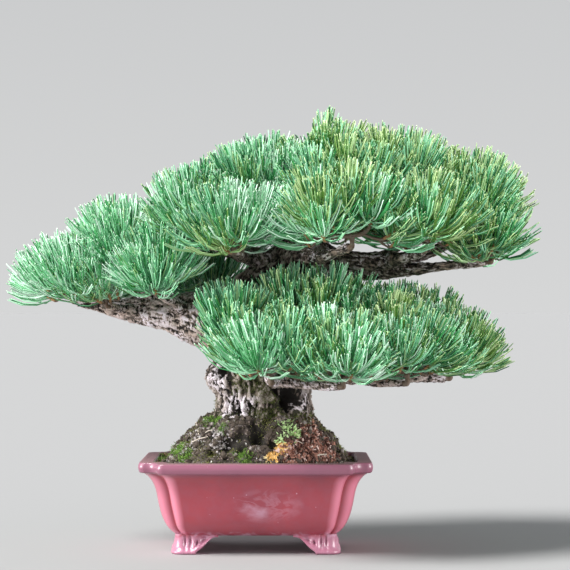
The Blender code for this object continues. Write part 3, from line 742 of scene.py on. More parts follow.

# %% [markdown]
# ## The bark
# Old white pine bark breaks into flakes: grey and pinkish plates lifted at their edges, with dark
# cracks between them. Bump alone would leave a smooth outline where the bark is seen edge on, so the
# plates are real: each point of a limb's surface is moved by two sizes of cell noise, plates and the
# small flakes on them. The same numbers are stored on the points, and the material reads them, so
# that the cracks are dark and the plates' worn faces pale exactly where the mesh has them. The near
# black of the cracks and of the trunk's hollows is partly the bark's own colour and partly painted
# shade. Only what is finer than the mesh, the splinters on each flake, is left to a bump. One recipe
# gives three barks: the old one of the trunk, a paler one with painted light on the low boughs and a
# darker, browner one with painted shade in the crown.

# %% Bark material
# The cracks' near black is partly the bark's own colour and partly painted shade
BARK_CRACK_SHADE = (0.016, 0.012, 0.01)
BARK_BROWN = (0.2, 0.155, 0.125)
BARK_GREY = (0.55, 0.475, 0.44)
SHADED_GREY = (0.42, 0.31, 0.25)  # the darker, browner bark under the crown: painted shade
LIT_GREY = (0.66, 0.53, 0.47)  # the paler bark of the low boughs: painted light
BARK_PALE = (0.93, 0.84, 0.9)
BARK_MOSS = (0.12, 0.125, 0.045)
BARK_WARM = (0.5, 0.36, 0.28)
BARK_PATCHES = (120, 1900, 3.0)  # the scales of a mottle's patches and grain, and its contrast
SPLINTER_SCALE = 650
SPLINTER_WARP = 0.004
SPLINTER_STRETCH = (1, 1, 0.45)
# From where to where a mask comes in: warm bark by its relief, pale bark by how worn it is and by
# its tone, and moss by the grain
WARM_RELIEF = (0.35, 0.7)
PALE_WORN = (0.1, 0.7)
PALE_TONE = (0.6, 0.8)
MOSS_GRAIN = (0.42, 0.66)


def splinters(tree, place, scale):
    """Fine flakes, longer than they are wide: a random number for each, and how near its edge is."""
    warp = add_node(tree, "ShaderNodeTexNoise", {"Vector": place, "Scale": scale * 0.4}).outputs["Color"]
    inputs = {0: SPLINTER_WARP, 4: place, 5: warp}
    moved = add_node(tree, "ShaderNodeMix", inputs, data_type="VECTOR").outputs[1]
    stretched = add_node(tree, "ShaderNodeMapping", {"Vector": moved, "Scale": SPLINTER_STRETCH})
    cells = add_node(tree, "ShaderNodeTexVoronoi", {"Vector": stretched.outputs[0], "Scale": scale})
    number = add_node(tree, "ShaderNodeSeparateColor", {"Color": cells.outputs["Color"]})
    return number.outputs[0], cells.outputs["Distance"]


def bark_material(name, splinter_share, ends, warm_share, grey=BARK_GREY):
    """Bark that reads its relief, its worn plates and its moss from the mesh, with painted shade in its
    cracks.

    The ends are the reliefs at which the cracks end, the brown starts and the grey starts.
    """
    material = plain_material(name, BARK_BROWN, 0.9)
    tree = material.node_tree
    relief, worn, moss = (read_value(tree, label) for label in ("relief", "worn", "moss"))
    place = tree.nodes.new("ShaderNodeTexCoord").outputs["Object"]
    patches, grain = add_mottle(tree, *BARK_PATCHES)
    flakes, edges = splinters(tree, place, SPLINTER_SCALE)
    tone = calculate(tree, "MULTIPLY_ADD", flakes, splinter_share, relief)
    stops = list(zip((0.0, *ends), (BARK_CRACK_SHADE, BARK_CRACK_SHADE, BARK_BROWN, grey)))
    colour = add_ramp(tree, tone, stops)
    warm = times(tree, between(tree, patches, 0.4, 0.9), warm_share)
    warm = times(tree, warm, between(tree, relief, *WARM_RELIEF))
    colour = mix_colours(tree, warm, colour, BARK_WARM)
    pale = times(tree, between(tree, worn, *PALE_WORN), between(tree, tone, *PALE_TONE))
    colour = mix_colours(tree, pale, colour, BARK_PALE)
    mossy = times(tree, moss, between(tree, grain, *MOSS_GRAIN))
    colour = mix_colours(tree, mossy, colour, BARK_MOSS)
    set_look(tree, colour, calculate(tree, "MULTIPLY_ADD", edges, -0.7, grain), 0.9, 0.0007)
    return material


OLD_BARK = bark_material("old_bark", 0.5, (0.52, 0.7, 1.0), 0.25)
# Two copies of one bark: darker, as painted shade, for the crown's boughs, and paler, as painted light, for
# the low ones
SHADED_BARK = bark_material("shaded_bark", 0.4, (0.3, 0.6, 1.0), 0.8, SHADED_GREY)
LIT_BARK = bark_material("lit_bark", 0.6, (0.34, 0.5, 0.84), 0.9, LIT_GREY)
print("bark materials:", OLD_BARK.name, SHADED_BARK.name, LIT_BARK.name)

# %% [markdown]
# ## The trunk
# The trunk is short and stout, almost as wide as the pot is deep, and leans and narrows quickly up
# into the crown. Its surface is lofted through the solids' own stations, with the same slow burrs,
# and then the bark is raised on it. What stands out on the real one is modelled where it is: a knob
# with a hollow on the left, a deep dark pocket low on the right, a ledge, and the pale worn plates
# below the knob. Each is a soft bump or dent, given by how far across and how high it lies in the
# photograph, and the trunk's own stations say how far forward that is.

# %% Loft the trunk
TRUNK = (
    (4, 0, 106.3, 41.5),
    (4, 0, 112, 39.5),
    (3, 0, 126, 39.5),
    (1, 2, 142, 40.0),
    (-2, 4, 160, 38.0),
    (-2, 6, 178, 34.5),
    (6, 8, 196, 29.5),
    (18, 9, 214, 25.5),
    (28, 9, 232, 21.5),
    (37, 9, 250, 16.5),
    (46, 8, 268, 11.5),
    (56, 4, 286, 6.5),
)
GNARL = 2.6
GNARL_SIZE = 26.0
PLATE_SIZE = 6.5
PLATE_STRETCH = 2.0
BARK_DEPTH = 5.0
TRUNK_SIDES = 264
TRUNK_SEED = 3.0
# What each part adds to the bark's relief, which runs from 0 in a crack to 1 on a plate
PLATE_EDGE, PLATE_STEP, PLATE_LIFT = 0.3, 0.2, 0.35
FLAKE_EDGE, FLAKE_STEP = 0.18, 0.24
CRUMBLE = 0.12
PLATE_CRACK, FLAKE_CRACK = 0.16, 0.2  # how wide the cracks are, as shares of a cell
FLAKES_TO_PLATE = 2.7
BARK_LEVEL = 0.6  # the relief that lies on the limb's own surface
BACK_STARTS = 10.0  # behind this, worn places and moss are dealt by noise
SOIL_LINE = 106.0
# Hollows and knobs: where across and how high, their reach and how far the bark stands out there
TRUNK_FEATURES = (
    ((26.5, 122), (5.5, 16, 10), -15.0),
    ((16.5, 129), (5, 8, 4.5), -6.0),
    ((29.5, 114), (1.8, 12, 6), 11.0),
    ((-36, 139), (9, 16, 11), 5.0),
    ((-40, 153), (8, 16, 7), -6.0),
    ((-28.5, 143), (3.6, 7, 4.5), -12.0),
    ((-37, 128), (3, 6, 2.5), 3.0),
    ((9, 122), (14, 9, 2.2), 3.2),
    ((9, 117), (14, 9, 2.6), -2.4),
    ((36, 122), (6, 14, 13), 3.5),
    ((-19.5, 115), (4, 7, 9), 3.0),
    ((-10, 115), (3.6, 6, 7), 3.0),
    ((-15, 113), (1.6, 5, 8), -3.4),
    ((-25, 113), (1.8, 5, 8), -3.0),
)
# Where the bark is worn pale, and where moss grows on it: place and reach
WORN_PLACES = (((-18, 114), 16), ((-31, 139), 12), ((-8, 118), 9), ((29, 116), 5), ((37, 119), 8))
MOSSY_PLACES = (
    ((4, 132), 15), ((-14, 133), 10), ((16, 110), 12), ((2, 108), 11), ((30, 107), 8), ((-34, 118), 5),
    ((12, 121), 8),
)


def trunk_at(height):
    """The trunk's middle and radius at a height."""
    stations = [(Vector(row[:3]), row[3]) for row in TRUNK]
    for (low, low_radius), (high, high_radius) in zip(stations, stations[1:]):
        if height <= high.z:
            part = max(0.0, (height - low.z) / (high.z - low.z))
            return low.lerp(high, part), low_radius + (high_radius - low_radius) * part
    return stations[-1]


def on_trunk(across, height):
    """The point of the trunk's front that is seen at a place across and at a height."""
    middle, radius = trunk_at(height)
    deep = math.sqrt(max(0.0, radius**2 - (across - middle.x) ** 2))
    return Vector((across, middle.y - deep, height))


def bark_at(angle, along, radius, size, stretch, depth, seed):
    """How far the bark stands out at a place on a limb, and its relief from 0 to 1."""
    around = Vector((math.cos(angle) * radius, math.sin(angle) * radius, along / stretch))
    place = around / size + Vector((seed, seed * 0.37, 0))
    place += noise.noise_vector(place * 0.9) * 0.5 + noise.noise_vector(place * 3.1) * 0.16
    (near, next_near, *_), (plate, *_) = noise.voronoi(place)
    (small_near, small_next, *_), (flake, *_) = noise.voronoi(place * FLAKES_TO_PLATE + Vector((5, 0, 0)))
    tilt = Vector((noise.cell(plate * 3.1) - 0.5, noise.cell(plate * 5.3) - 0.5, -0.6))
    relief = PLATE_EDGE * min(1.0, (next_near - near) / PLATE_CRACK)
    relief += PLATE_STEP * noise.cell(plate * 9.7)
    relief += FLAKE_EDGE * min(1.0, (small_next - small_near) / FLAKE_CRACK)
    relief += FLAKE_STEP * noise.cell(flake * 7.3)
    relief += CRUMBLE * noise.noise(place * 8)
    relief += PLATE_LIFT * tilt.dot(place - plate)
    return depth * (relief - BARK_LEVEL), unit(relief)


def limb_frames(rows):
    """For each ring of a limb: its centre, radius, how far along it is, and its two side vectors."""
    centres = [Vector(row[:3]) for row in rows]
    frames = []
    along = 0.0
    side = None
    for i, centre in enumerate(centres):
        way = (centres[min(i + 1, len(centres) - 1)] - centres[max(i - 1, 0)]).normalized()
        if side is None:
            side = way.orthogonal().normalized()
        else:
            along += (centre - centres[i - 1]).length
            side = (side - way * side.dot(way)).normalized()
        frames.append((centre, rows[i][3], along, side, way.cross(side)))
    return frames


def feature_offset(place):
    """What the hollows and knobs add at a place on the trunk."""
    offset = 0.0
    for (across, height), reach, depth in TRUNK_FEATURES:
        middle = on_trunk(across, height)
        away = sum(((p - m) / r) ** 2 for p, m, r in zip(place, middle, reach))
        if away < 3:
            offset += depth * math.exp(-(away**1.5))
    return offset


def nearness(place, places):
    """1 at the nearest of some places, falling to 0 at its reach and wandering a little."""
    best = 0.0
    for (across, height), reach in places:
        away = (place - on_trunk(across, height)).length / reach
        best = max(best, 1.2 - away + 0.7 * noise.noise(place / 5))
    return unit(best)


def trunk_marks(place, _):
    """The trunk's hollows, its worn places and its moss at one point."""
    hollow = feature_offset(place)
    in_front = place.y < BACK_STARTS
    worn = nearness(place, WORN_PLACES) if in_front else noise.noise(place / 16)
    moss = nearness(place, MOSSY_PLACES) if in_front else 0.2 + noise.noise(place / 12)
    moss = max(moss, 0.7 - (place.z - SOIL_LINE) / 6 + noise.noise(place / 7))
    return hollow, worn, moss * (1 - 0.8 * worn) if hollow > -2 else 0.0


def bough_marks(place, out):
    """A bough's worn and mossy stretches, which lie on top of it."""
    worn = 0.4 + 0.8 * noise.noise(place / 13) + 0.18 * out.z
    return 0.0, worn, max(0.0, 0.5 * noise.noise(place / 17) + 0.2 * out.z - 0.1)


def loft_limb(name, rows, sides, size, stretch, depth, seed, material, burr, marks):
    """A limb's surface with its bark: rings of points, two closed ends and the bark's numbers."""
    places, reliefs, worns, mosses = [], [], [], []
    for centre, radius, along, side, other in limb_frames(rows):
        fade = min(1.0, radius / 5.0)
        for step in range(sides):
            angle = math.tau * step / sides
            out = side * math.cos(angle) + other * math.sin(angle)
            place = centre + out * radius
            rise, relief = bark_at(angle, along, radius, size, stretch, depth * fade, seed)
            rise += noise.noise(place / GNARL_SIZE) * burr * 2 * min(1.0, radius / 20)
            hollow, worn, moss = marks(place, out)
            places.append(place + out * (rise + hollow))
            # The trunk's hollows lower the relief, so the material paints them darker, as shade
            reliefs.append(relief + min(0.0, hollow) * 0.08)
            worns.append(worn)
            mosses.append(unit(moss))
    rings = len(rows)
    faces = stack_faces(0, rings, sides)
    places += [Vector(rows[0][:3]), Vector(rows[-1][:3])]
    low, high = len(places) - 2, len(places) - 1
    last = (rings - 1) * sides
    for i in range(sides):
        faces.append((low, (i + 1) % sides, i))
        faces.append((high, last + i, last + (i + 1) % sides))
    piece = make_piece(name, places, faces, material)
    for label, values in (("relief", reliefs), ("worn", worns), ("moss", mosses)):
        set_values(piece.data, label, values + [0.5, 0.5])
    return piece


def make_trunk():
    """The trunk, with its rings close together where it stands free of the foliage."""
    lower, upper = through(TRUNK[:6], 20), through(TRUNK[4:], 7)
    rows = np.vstack([lower, upper[upper[:, 2] > lower[-1, 2] + 0.5]])
    trunk = loft_limb(
        "trunk_bark", rows, TRUNK_SIDES, PLATE_SIZE, PLATE_STRETCH, BARK_DEPTH, TRUNK_SEED,
        OLD_BARK, GNARL, trunk_marks,
    )
    return hand_over(trunk, "bark", "trunk")


trunk = make_trunk()
print("trunk faces:", len(trunk.data.polygons))

# %% [markdown]
# ## The boughs
# Each bough runs out almost level from the trunk or from another bough, tapers all the way and ends
# under the mass of needles that it carries. The table and the rule for its bow and crook are those
# of the solids, but the finished boughs hang a little less, and four have a hang of their own, so
# that the gaps between them are the photo's. Where a bough leaves its parent it swells into a collar,
# and its root is sunk in the parent, as grown wood is. A curve with a bevel would be quicker, but it
# has no bark.

# %% Loft the boughs
MASSES = {
    "left_low": ((-116, -34, 205), (9, 7), 1, 2),
    "left_tip": ((-145, -4, 209), (19, 24), 9, 8),
    "left_top": ((-107, 4, 232), (22, 28), 12, 8),
    "left_front": ((-76, -42, 214), (11, 12), 6, 4),
    "left_inner": ((-42, 54, 208), (18, 16), 8, 4),
    "left_back": ((-108, 56, 212), (26, 18), 12, 6),
    "low_left": ((-16, -58, 168), (16, 14), 7, 5),
    "low_front_left": ((13, -88, 147), (25, 18), 10, 7),
    "low_front_right": ((64, -90, 144), (25, 18), 11, 7),
    "low_right_front": ((114, -76, 146), (24, 18), 11, 6),
    "low_right": ((150, -30, 148), (22, 28), 10, 7),
    "low_inner": ((44, -34, 176), (42, 15), 14, 8),
    "low_middle": ((94, -46, 160), (30, 18), 11, 7),
    "low_right_back": ((122, 24, 165), (32, 26), 12, 7),
    "low_back": ((40, 74, 158), (32, 22), 14, 7),
    "crown_left": ((-42, -8, 256), (24, 34), 18, 9),
    "crown_left_front": ((-16, -60, 247), (22, 12), 6, 5),
    "crown_left_back": ((-12, 58, 262), (30, 24), 14, 7),
    "crown_top_left": ((8, 2, 284), (26, 28), 10, 8),
    "crown_apex": ((56, 4, 300), (18, 20), 16, 6),
    "crown_middle": ((72, -38, 276), (38, 18), 12, 7),
    "crown_front": ((72, -84, 250), (36, 18), 16, 8),
    "crown_top_right": ((112, 4, 288), (32, 32), 14, 9),
    "crown_right": ((170, -6, 262), (26, 38), 22, 10),
    "crown_right_front": ((130, -66, 248), (22, 20), 16, 6),
    "crown_right_low": ((182, -32, 240), (10, 18), 3, 4),
    "crown_right_back": ((132, 62, 264), (32, 24), 18, 8),
    "crown_back": ((62, 80, 266), (34, 22), 16, 8),
}
BOUGHS = {
    "left_bough": ("trunk", 0.475, "left_tip", 26.0, 4.5, 3.0, 0.0),
    "left_low_bough": ("left_bough", 0.66, "left_low", 4.5, 3.0, 1.0, 0.0),
    "left_top_bough": ("left_bough", 0.5, "left_top", 6.5, 3.6, -2.0, 0.0),
    "left_front_bough": ("left_bough", 0.38, "left_front", 6.0, 3.2, 0.0, 3.0),
    "left_inner_bough": ("left_bough", 0.22, "left_inner", 6.5, 3.2, 2.0, 0.0),
    "left_back_bough": ("left_bough", 0.46, "left_back", 6.5, 3.2, 3.0, 0.0),
    "low_left_bough": ("trunk", 0.42, "low_left", 7.0, 3.2, 2.0, 0.0),
    "low_front_bough": ("trunk", 0.24, "low_front_left", 9.0, 3.6, 2.0, 6.0),
    "low_front_right_bough": ("low_front_bough", 0.55, "low_front_right", 5.5, 3.2, 3.0, 3.0),
    "low_right_bough": ("trunk", 0.25, "low_right", 10.0, 3.6, 4.0, -16.0),
    "low_right_front_bough": ("low_right_bough", 0.48, "low_right_front", 5.0, 3.2, 3.0, 2.0),
    "low_middle_bough": ("low_right_bough", 0.36, "low_middle", 5.0, 3.2, -1.0, 0.0),
    "low_right_back_bough": ("low_right_bough", 0.58, "low_right_back", 5.0, 3.2, 2.0, 0.0),
    "low_inner_bough": ("trunk", 0.45, "low_inner", 7.0, 3.2, 1.0, 0.0),
    "low_back_bough": ("trunk", 0.32, "low_back", 8.0, 3.4, 4.0, 0.0),
    "crown_left_bough": ("trunk", 0.72, "crown_left", 9.5, 4.0, 4.0, 0.0),
    "crown_left_front_bough": ("crown_left_bough", 0.45, "crown_left_front", 5.0, 3.0, 3.0, 0.0),
    "crown_left_back_bough": ("crown_left_bough", 0.6, "crown_left_back", 5.0, 3.0, 2.0, 0.0),
    "crown_top_left_bough": ("trunk", 0.87, "crown_top_left", 6.0, 3.4, 1.0, 0.0),
    "crown_middle_bough": ("trunk", 0.82, "crown_middle", 7.0, 3.4, 2.0, 0.0),
    "crown_front_bough": ("trunk", 0.74, "crown_front", 8.5, 3.8, 7.0, 0.0),
    "crown_top_right_bough": ("trunk", 0.91, "crown_top_right", 5.8, 3.4, 3.0, 0.0),
    "crown_right_bough": ("trunk", 0.79, "crown_right", 9.5, 4.0, 8.0, -8.0),
    "crown_right_front_bough": ("crown_right_bough", 0.55, "crown_right_front", 5.0, 3.0, 3.0, 0.0),
    "crown_right_low_bough": ("trunk", 0.67, "crown_right_low", 9.0, 3.2, 9.0, 8.0),
    "crown_right_back_bough": ("crown_right_bough", 0.42, "crown_right_back", 5.5, 3.0, 3.0, 0.0),
    "crown_back_bough": ("trunk", 0.76, "crown_back", 8.0, 3.4, 4.0, 0.0),
}
FOOT_DROP = 10.0  # a little less than the solids', as the finer twigs need less room
BOUGH_STATIONS = 5
BOUGH_TAPER = 1.15
CROOK = 0.035
COLLAR = 0.3
BOUGH_RING_GAP = 1.5
BOUGH_STRETCH = 3.2
BOUGH_GNARL = 2.4
HANG_SHARE = 0.6  # how much of its solid's hang a finished bough keeps
# The boughs that keep another share of it
OWN_HANG = {
    "crown_right_bough": 2.1,
    "crown_right_low_bough": 0.2,
    "low_front_bough": -1.0,
    "low_right_bough": -0.5,
}
# A bough's sides, its plates' size and its bark's depth: the least, and what each millimetre of its
# root's radius adds
BOUGH_SIDES = (18, 2.6)
BOUGH_PLATES = (2.3, 0.07)
BOUGH_BARK = (1.1, 0.06)
BOUGH_SEEDS = 3.7


def station_on(path, share):
    """The place and radius at a share of the way along a limb."""
    reach = share * (len(path) - 1)
    first = min(int(reach), len(path) - 2)
    part = reach - first
    (place_a, radius_a), (place_b, radius_b) = path[first], path[first + 1]
    return place_a.lerp(place_b, part), radius_a + (radius_b - radius_a) * part


def mass_foot(mass):
    """Where the bough that carries a mass ends."""
    (x, y, z), _, _, _ = MASSES[mass]
    return Vector((x, y, z - FOOT_DROP))


def bough_path(name, paths):
    """A bough's centre line and radii: a hanging curve with a bow and a seeded crook."""
    parent, share, mass, root_radius, tip_radius, hang, bow = BOUGHS[name]
    root, _ = station_on(paths[parent], share)
    tip = mass_foot(mass)
    phase = random.Random(name).uniform(0, math.tau)
    left = UP.cross(tip - root).normalized()
    length = (tip - root).length
    path = []
    for step in range(BOUGH_STATIONS + 1):
        t = step / BOUGH_STATIONS
        arch = 4 * t * (1 - t)
        place = root.lerp(tip, t) - UP * hang * OWN_HANG.get(name, HANG_SHARE) * arch
        place += left * arch * (bow + CROOK * length * math.sin(phase + 5 * t))
        radius = tip_radius + (root_radius - tip_radius) * (1 - t) ** BOUGH_TAPER
        path.append((place, radius))
    return path


def collared(rows, parent_radius):
    """A bough's rows with its root swollen where it leaves its parent."""
    along = 0.0
    made = []
    for i, row in enumerate(rows):
        if i:
            along += float(np.linalg.norm(rows[i][:3] - rows[i - 1][:3]))
        past = max(0.0, along - parent_radius) / (row[3] * 1.6)
        made.append((*row[:3], row[3] * (1 + COLLAR * math.exp(-past * past))))
    return made


def make_boughs():
    paths = {"trunk": [(Vector(row[:3]), row[3]) for row in TRUNK]}
    total = 0
    for number, (name, (parent, share, _, thick, *_)) in enumerate(BOUGHS.items()):
        paths[name] = bough_path(name, paths)
        length = (paths[name][-1][0] - paths[name][0][0]).length
        steps = max(6, round(length / BOUGH_STATIONS / BOUGH_RING_GAP))
        rows = through([(*place, radius) for place, radius in paths[name]], steps)
        _, parent_radius = station_on(paths[parent], share)
        sides, plate, depth = (a + b * thick for a, b in (BOUGH_SIDES, BOUGH_PLATES, BOUGH_BARK))
        # Boughs in the crown get the bark with painted shade, the others the one with painted light
        piece = loft_limb(
            name + "_bark", collared(rows, parent_radius), int(sides), plate, BOUGH_STRETCH, depth,
            number * BOUGH_SEEDS, SHADED_BARK if name.startswith("crown") else LIT_BARK,
            BOUGH_GNARL, bough_marks,
        )
        hand_over(piece, "bark", name)
        total += len(piece.data.polygons)
    return paths, total


PATHS, bough_faces = make_boughs()
print("boughs:", len(BOUGHS), "faces:", bough_faces)

# %% [markdown]
# ## Shoots and twigs
# A mass is a low dome of buds, spaced like the seeds of a sunflower, and every bud is joined to the
# nearest twig that is already there. That is the solids' rule, and here it goes one step further:
# beside each bud one or two side shoots grow, a little lower and leaning out. A twig's thickness
# comes from how many shoots it feeds. Geometry Nodes turn the finished lines into tubes, because
# one tree does it for all the masses, and the radius is read from the line's own points.

# %% Grow the shoots
GOLDEN_ANGLE = math.radians(137.508)
BUD_SCATTER = 2.0
SHOOT_SPREAD = 0.8
TREE_MIDDLE = Vector((30, 0, 0))
TREE_LEAN = 0.35
STEM_NECK = 4.0
HUB_RISE = 4.0
TWIG_SAG = 0.12
STALK_BELOW = 4.5  # how far a shoot's needled stalk starts below its bud
STALK_ABOVE = 9.0
TWIG_TIP_RADIUS = 0.95
# The two kinds of side shoot: how far out, how far down, how much they lean out, and their size
SIDE_KINDS = ((10.0, 3.0, 0.4, 0.86), (12.0, 1.0, 0.8, 0.86))
LOW_DROP = {"left": 7.0, "low": 4.5, "crown": 8.5}  # how much further down the lower kind hangs
OPEN_BELOW = ("low_left",)  # masses that leave the trunk open to view, without the lower kind
OUTER_SHARE = 0.5  # buds further out than this share of their mass nearly all have the lower kind
SIDE_TURN = 1.3  # how far round its bud a side shoot may stand from straight out, in radians
SIDE_REACHES = (0.8, 1.15)
OVERHANG = 1.1  # past this, squared, of its mass's half width a side shoot is turned inwards
LOW_CHANCES = (0.5, 0.9)  # how likely the lower kind is, nearer the middle and further out
EDGE_SHARE = 0.8  # at the very edge of its mass the lower kind stays close to its bud
EDGE_REACH = 0.35
HUB_PULL = 0.35  # how much a twig rather starts near the hub than near its bud
ELBOW_AT = 0.6
SIDE_ELBOW_AT = 0.55
SIDE_LENGTH = 8  # the span by which a side twig's sag is reckoned


def mass_buds(name):
    """The buds of a mass: where each one stands and the way its shoot points."""
    (x, y, z), (half_width, half_depth), rise, count = MASSES[name]
    chance = random.Random(name)
    turn = chance.uniform(0, math.tau)
    away = Vector((x, y, 0)) - TREE_MIDDLE
    lean = away * (TREE_LEAN / 150)
    buds = []
    for number in range(count):
        share = math.sqrt((number + 0.5) / count)
        angle = turn + number * GOLDEN_ANGLE
        out = way_out(angle)
        place = Vector((x, y, z)) + UP * rise * (1 - share * share)
        place += Vector((half_width * out.x, half_depth * out.y, 0)) * share
        place += Vector([chance.uniform(-BUD_SCATTER, BUD_SCATTER) for _ in range(3)])
        axis = (UP + out * SHOOT_SPREAD * share + lean).normalized()
        buds.append((place, axis))
    return buds


def side_shoots(name, number, bud, axis):
    """One or two weaker shoots beside a bud; the lower kind closes the mass's underside."""
    (x, y, _), (half_width, half_depth), _, _ = MASSES[name]
    chance = random.Random(f"{name} side {number}")
    away = Vector(((bud.x - x) / half_width, (bud.y - y) / half_depth, 0))
    turn = math.atan2(away.y, away.x) + chance.uniform(-SIDE_TURN, SIDE_TURN)
    made = []
    for is_low, (reach, drop, lean, size) in zip((False, True), SIDE_KINDS):
        if is_low:
            drop += LOW_DROP[name.split("_")[0]]
            if chance.random() > LOW_CHANCES[away.length > OUTER_SHARE] or name in OPEN_BELOW:
                continue
        angle = turn if is_low else turn + GOLDEN_ANGLE
        out = way_out(angle)
        reach *= chance.uniform(*SIDE_REACHES)
        if is_low and away.length > EDGE_SHARE:
            reach *= EDGE_REACH
        elif ((bud + out * reach).x - x) ** 2 / half_width**2 > OVERHANG:
            out = -out
        place = bud + out * reach - UP * drop
        made.append((place, (axis + out * lean).normalized(), size))
    return made


def grow_twigs(name):
    """The twigs' lines as (points, shoots fed), and the shoots as (place, axis, size)."""
    carrier = [bough for bough, row in BOUGHS.items() if row[2] == name]
    path = PATHS[carrier[0] if carrier else "trunk"]
    (before, _), (tip, radius) = path[-2:]
    tip_way = (tip - before).normalized()
    foot = mass_foot(name)
    hub = foot + tip_way * STEM_NECK + UP * (HUB_RISE + min(radius, 5))
    lines = [[[foot - tip_way * 2, foot + tip_way * STEM_NECK, hub], None]]
    joints = [(hub, 0)]
    shoots = []
    buds = sorted(mass_buds(name), key=lambda bud: (bud[0] - hub).length)
    for number, (bud, axis) in enumerate(buds):
        base = bud - axis * STALK_BELOW
        joint, parent = min(joints, key=lambda j: (j[0] - base).length + HUB_PULL * (j[0] - hub).length)
        elbow = joint.lerp(base, ELBOW_AT) - UP * TWIG_SAG * (base - joint).length
        lines.append([[joint, elbow, base, bud], parent])
        line = len(lines) - 1
        joints.append((elbow, line))
        shoots.append((bud, axis, 1.0))
        for place, side_axis, size in side_shoots(name, number, bud, axis):
            side_base = place - side_axis * STALK_BELOW
            middle = elbow.lerp(side_base, SIDE_ELBOW_AT) - UP * TWIG_SAG * SIDE_LENGTH
            lines.append([[elbow, middle, side_base, place], line])
            shoots.append((place, side_axis, size))
    return lines, shoots


def shoots_fed(lines):
    """How many shoots each line feeds, itself included."""
    fed = [1] * len(lines)
    for number in range(len(lines) - 1, 0, -1):
        fed[lines[number][1]] += fed[number]
    return fed


GROWTH = {name: grow_twigs(name) for name in MASSES}
print("shoots:", sum(len(shoots) for _, shoots in GROWTH.values()))

# %% Geometry Nodes helpers and the twig tree
def node_tree(name, inputs):
    """An empty Geometry Nodes tree with a mesh in, a mesh out and the named inputs."""
    tree = bpy.data.node_groups.new(name, "GeometryNodeTree")
    tree.interface.new_socket("Geometry", in_out="INPUT", socket_type="NodeSocketGeometry")
    for label, (kind, value) in inputs.items():
        socket = tree.interface.new_socket(label, in_out="INPUT", socket_type="NodeSocket" + kind)
        if value is not None:
            socket.default_value = value
    tree.interface.new_socket("Geometry", in_out="OUTPUT", socket_type="NodeSocketGeometry")
    return tree, tree.nodes.new("NodeGroupInput").outputs, tree.nodes.new("NodeGroupOutput").inputs


def named(tree, name, data_type="FLOAT"):
    """A value stored on the mesh's points."""
    node = add_node(tree, "GeometryNodeInputNamedAttribute", {"Name": name}, data_type=data_type)
    return node.outputs["Attribute"]


def run_tree(thing, tree, values):
    """Put a tree on an object with its inputs set, and keep the mesh that it makes."""
    modifier = thing.modifiers.new(tree.name, "NODES")
    modifier.node_group = tree
    for item in tree.interface.items_tree:
        if item.in_out == "INPUT" and item.name in values:
            modifier[item.identifier] = values[item.name]
    settle(thing)
    return thing


def stand(tree, points, shapes, **inputs):
    """One of a collection's shapes stood on every point."""
    kinds = add_node(tree, "GeometryNodeCollectionInfo", {"Collection": shapes, "Separate Children": True})
    inputs = {"Points": points, "Instance": kinds.outputs[0], "Pick Instance": True, **inputs}
    return add_node(tree, "GeometryNodeInstanceOnPoints", inputs)


def end_tree(tree, node, out, *finishes):
    """Realize what a node made, and give it each (finish, which part of it) in turn."""
    whole = add_node(tree, "GeometryNodeRealizeInstances", {"Geometry": node.outputs[0]}).outputs[0]
    for finish, part in finishes:
        inputs = {"Geometry": whole, "Material": finish, "Selection": part}
        whole = add_node(tree, "GeometryNodeSetMaterial", inputs).outputs[0]
    tree.links.new(whole, out["Geometry"])


def twig_tree():
    tree, given, out = node_tree("twig_tubes", {"Sides": ("Int", 6), "Bark": ("Material", None)})
    curve = add_node(tree, "GeometryNodeMeshToCurve", {"Mesh": given["Geometry"]}).outputs[0]
    ring = add_node(tree, "GeometryNodeCurvePrimitiveCircle", {"Resolution": given["Sides"], "Radius": 1})
    inputs = {"Curve": curve, "Profile Curve": ring.outputs["Curve"], "Scale": named(tree, "radius")}
    tube = add_node(tree, "GeometryNodeCurveToMesh", {**inputs, "Fill Caps": True})
    end_tree(tree, tube, out, (given["Bark"], True))
    return tree


TWIG_TREE = twig_tree()
print("twig tree inputs:", [item.name for item in TWIG_TREE.interface.items_tree if item.in_out == "INPUT"])

# %% Make the twigs and the needled stalks
TWIG_BROWN = (0.13, 0.08, 0.05)
STALK_ORANGE = (0.36, 0.19, 0.08)
LINE_STEPS = 6
TWIG_KNOBS = 0.45  # how much a twig swells and shrinks along its length
TWIG_PATCHES = (220, 2500, 3.0)
TWIG_GROWTH = 0.36  # how fast a twig thickens with the shoots that it feeds
TWIG_MOST = 2.6
TWIG_TAPER = 0.85
STALK_SWELL = ((0.0, 1.1), (0.3, 1.7), (0.7, 1.5), (1.0, 0.5))  # how far along, and the radius there


def twig_material():
    material = plain_material("twig_bark", TWIG_BROWN, 0.85)
    tree = material.node_tree
    patches, grain = add_mottle(tree, *TWIG_PATCHES)
    colour = mix_colours(tree, patches, BARK_BROWN, TWIG_BROWN)
    set_look(tree, colour, grain, 0.6, 0.0003)
    return material


def line_piece(name, lines):
    """A piece of loose lines, each a list of (place, radius)."""
    places, radii, edges = [], [], []
    for line in lines:
        first = len(places)
        places += [place for place, _ in line]
        radii += [radius * MM for _, radius in line]
        edges += [(i, i + 1) for i in range(first, len(places) - 1)]
    mesh = bpy.data.meshes.new(name)
    mesh.from_pydata([(Vector(place) + POT_MIDDLE) * MM for place in places], edges, [])
    set_values(mesh, "radius", radii)
    return new_object(name, mesh)


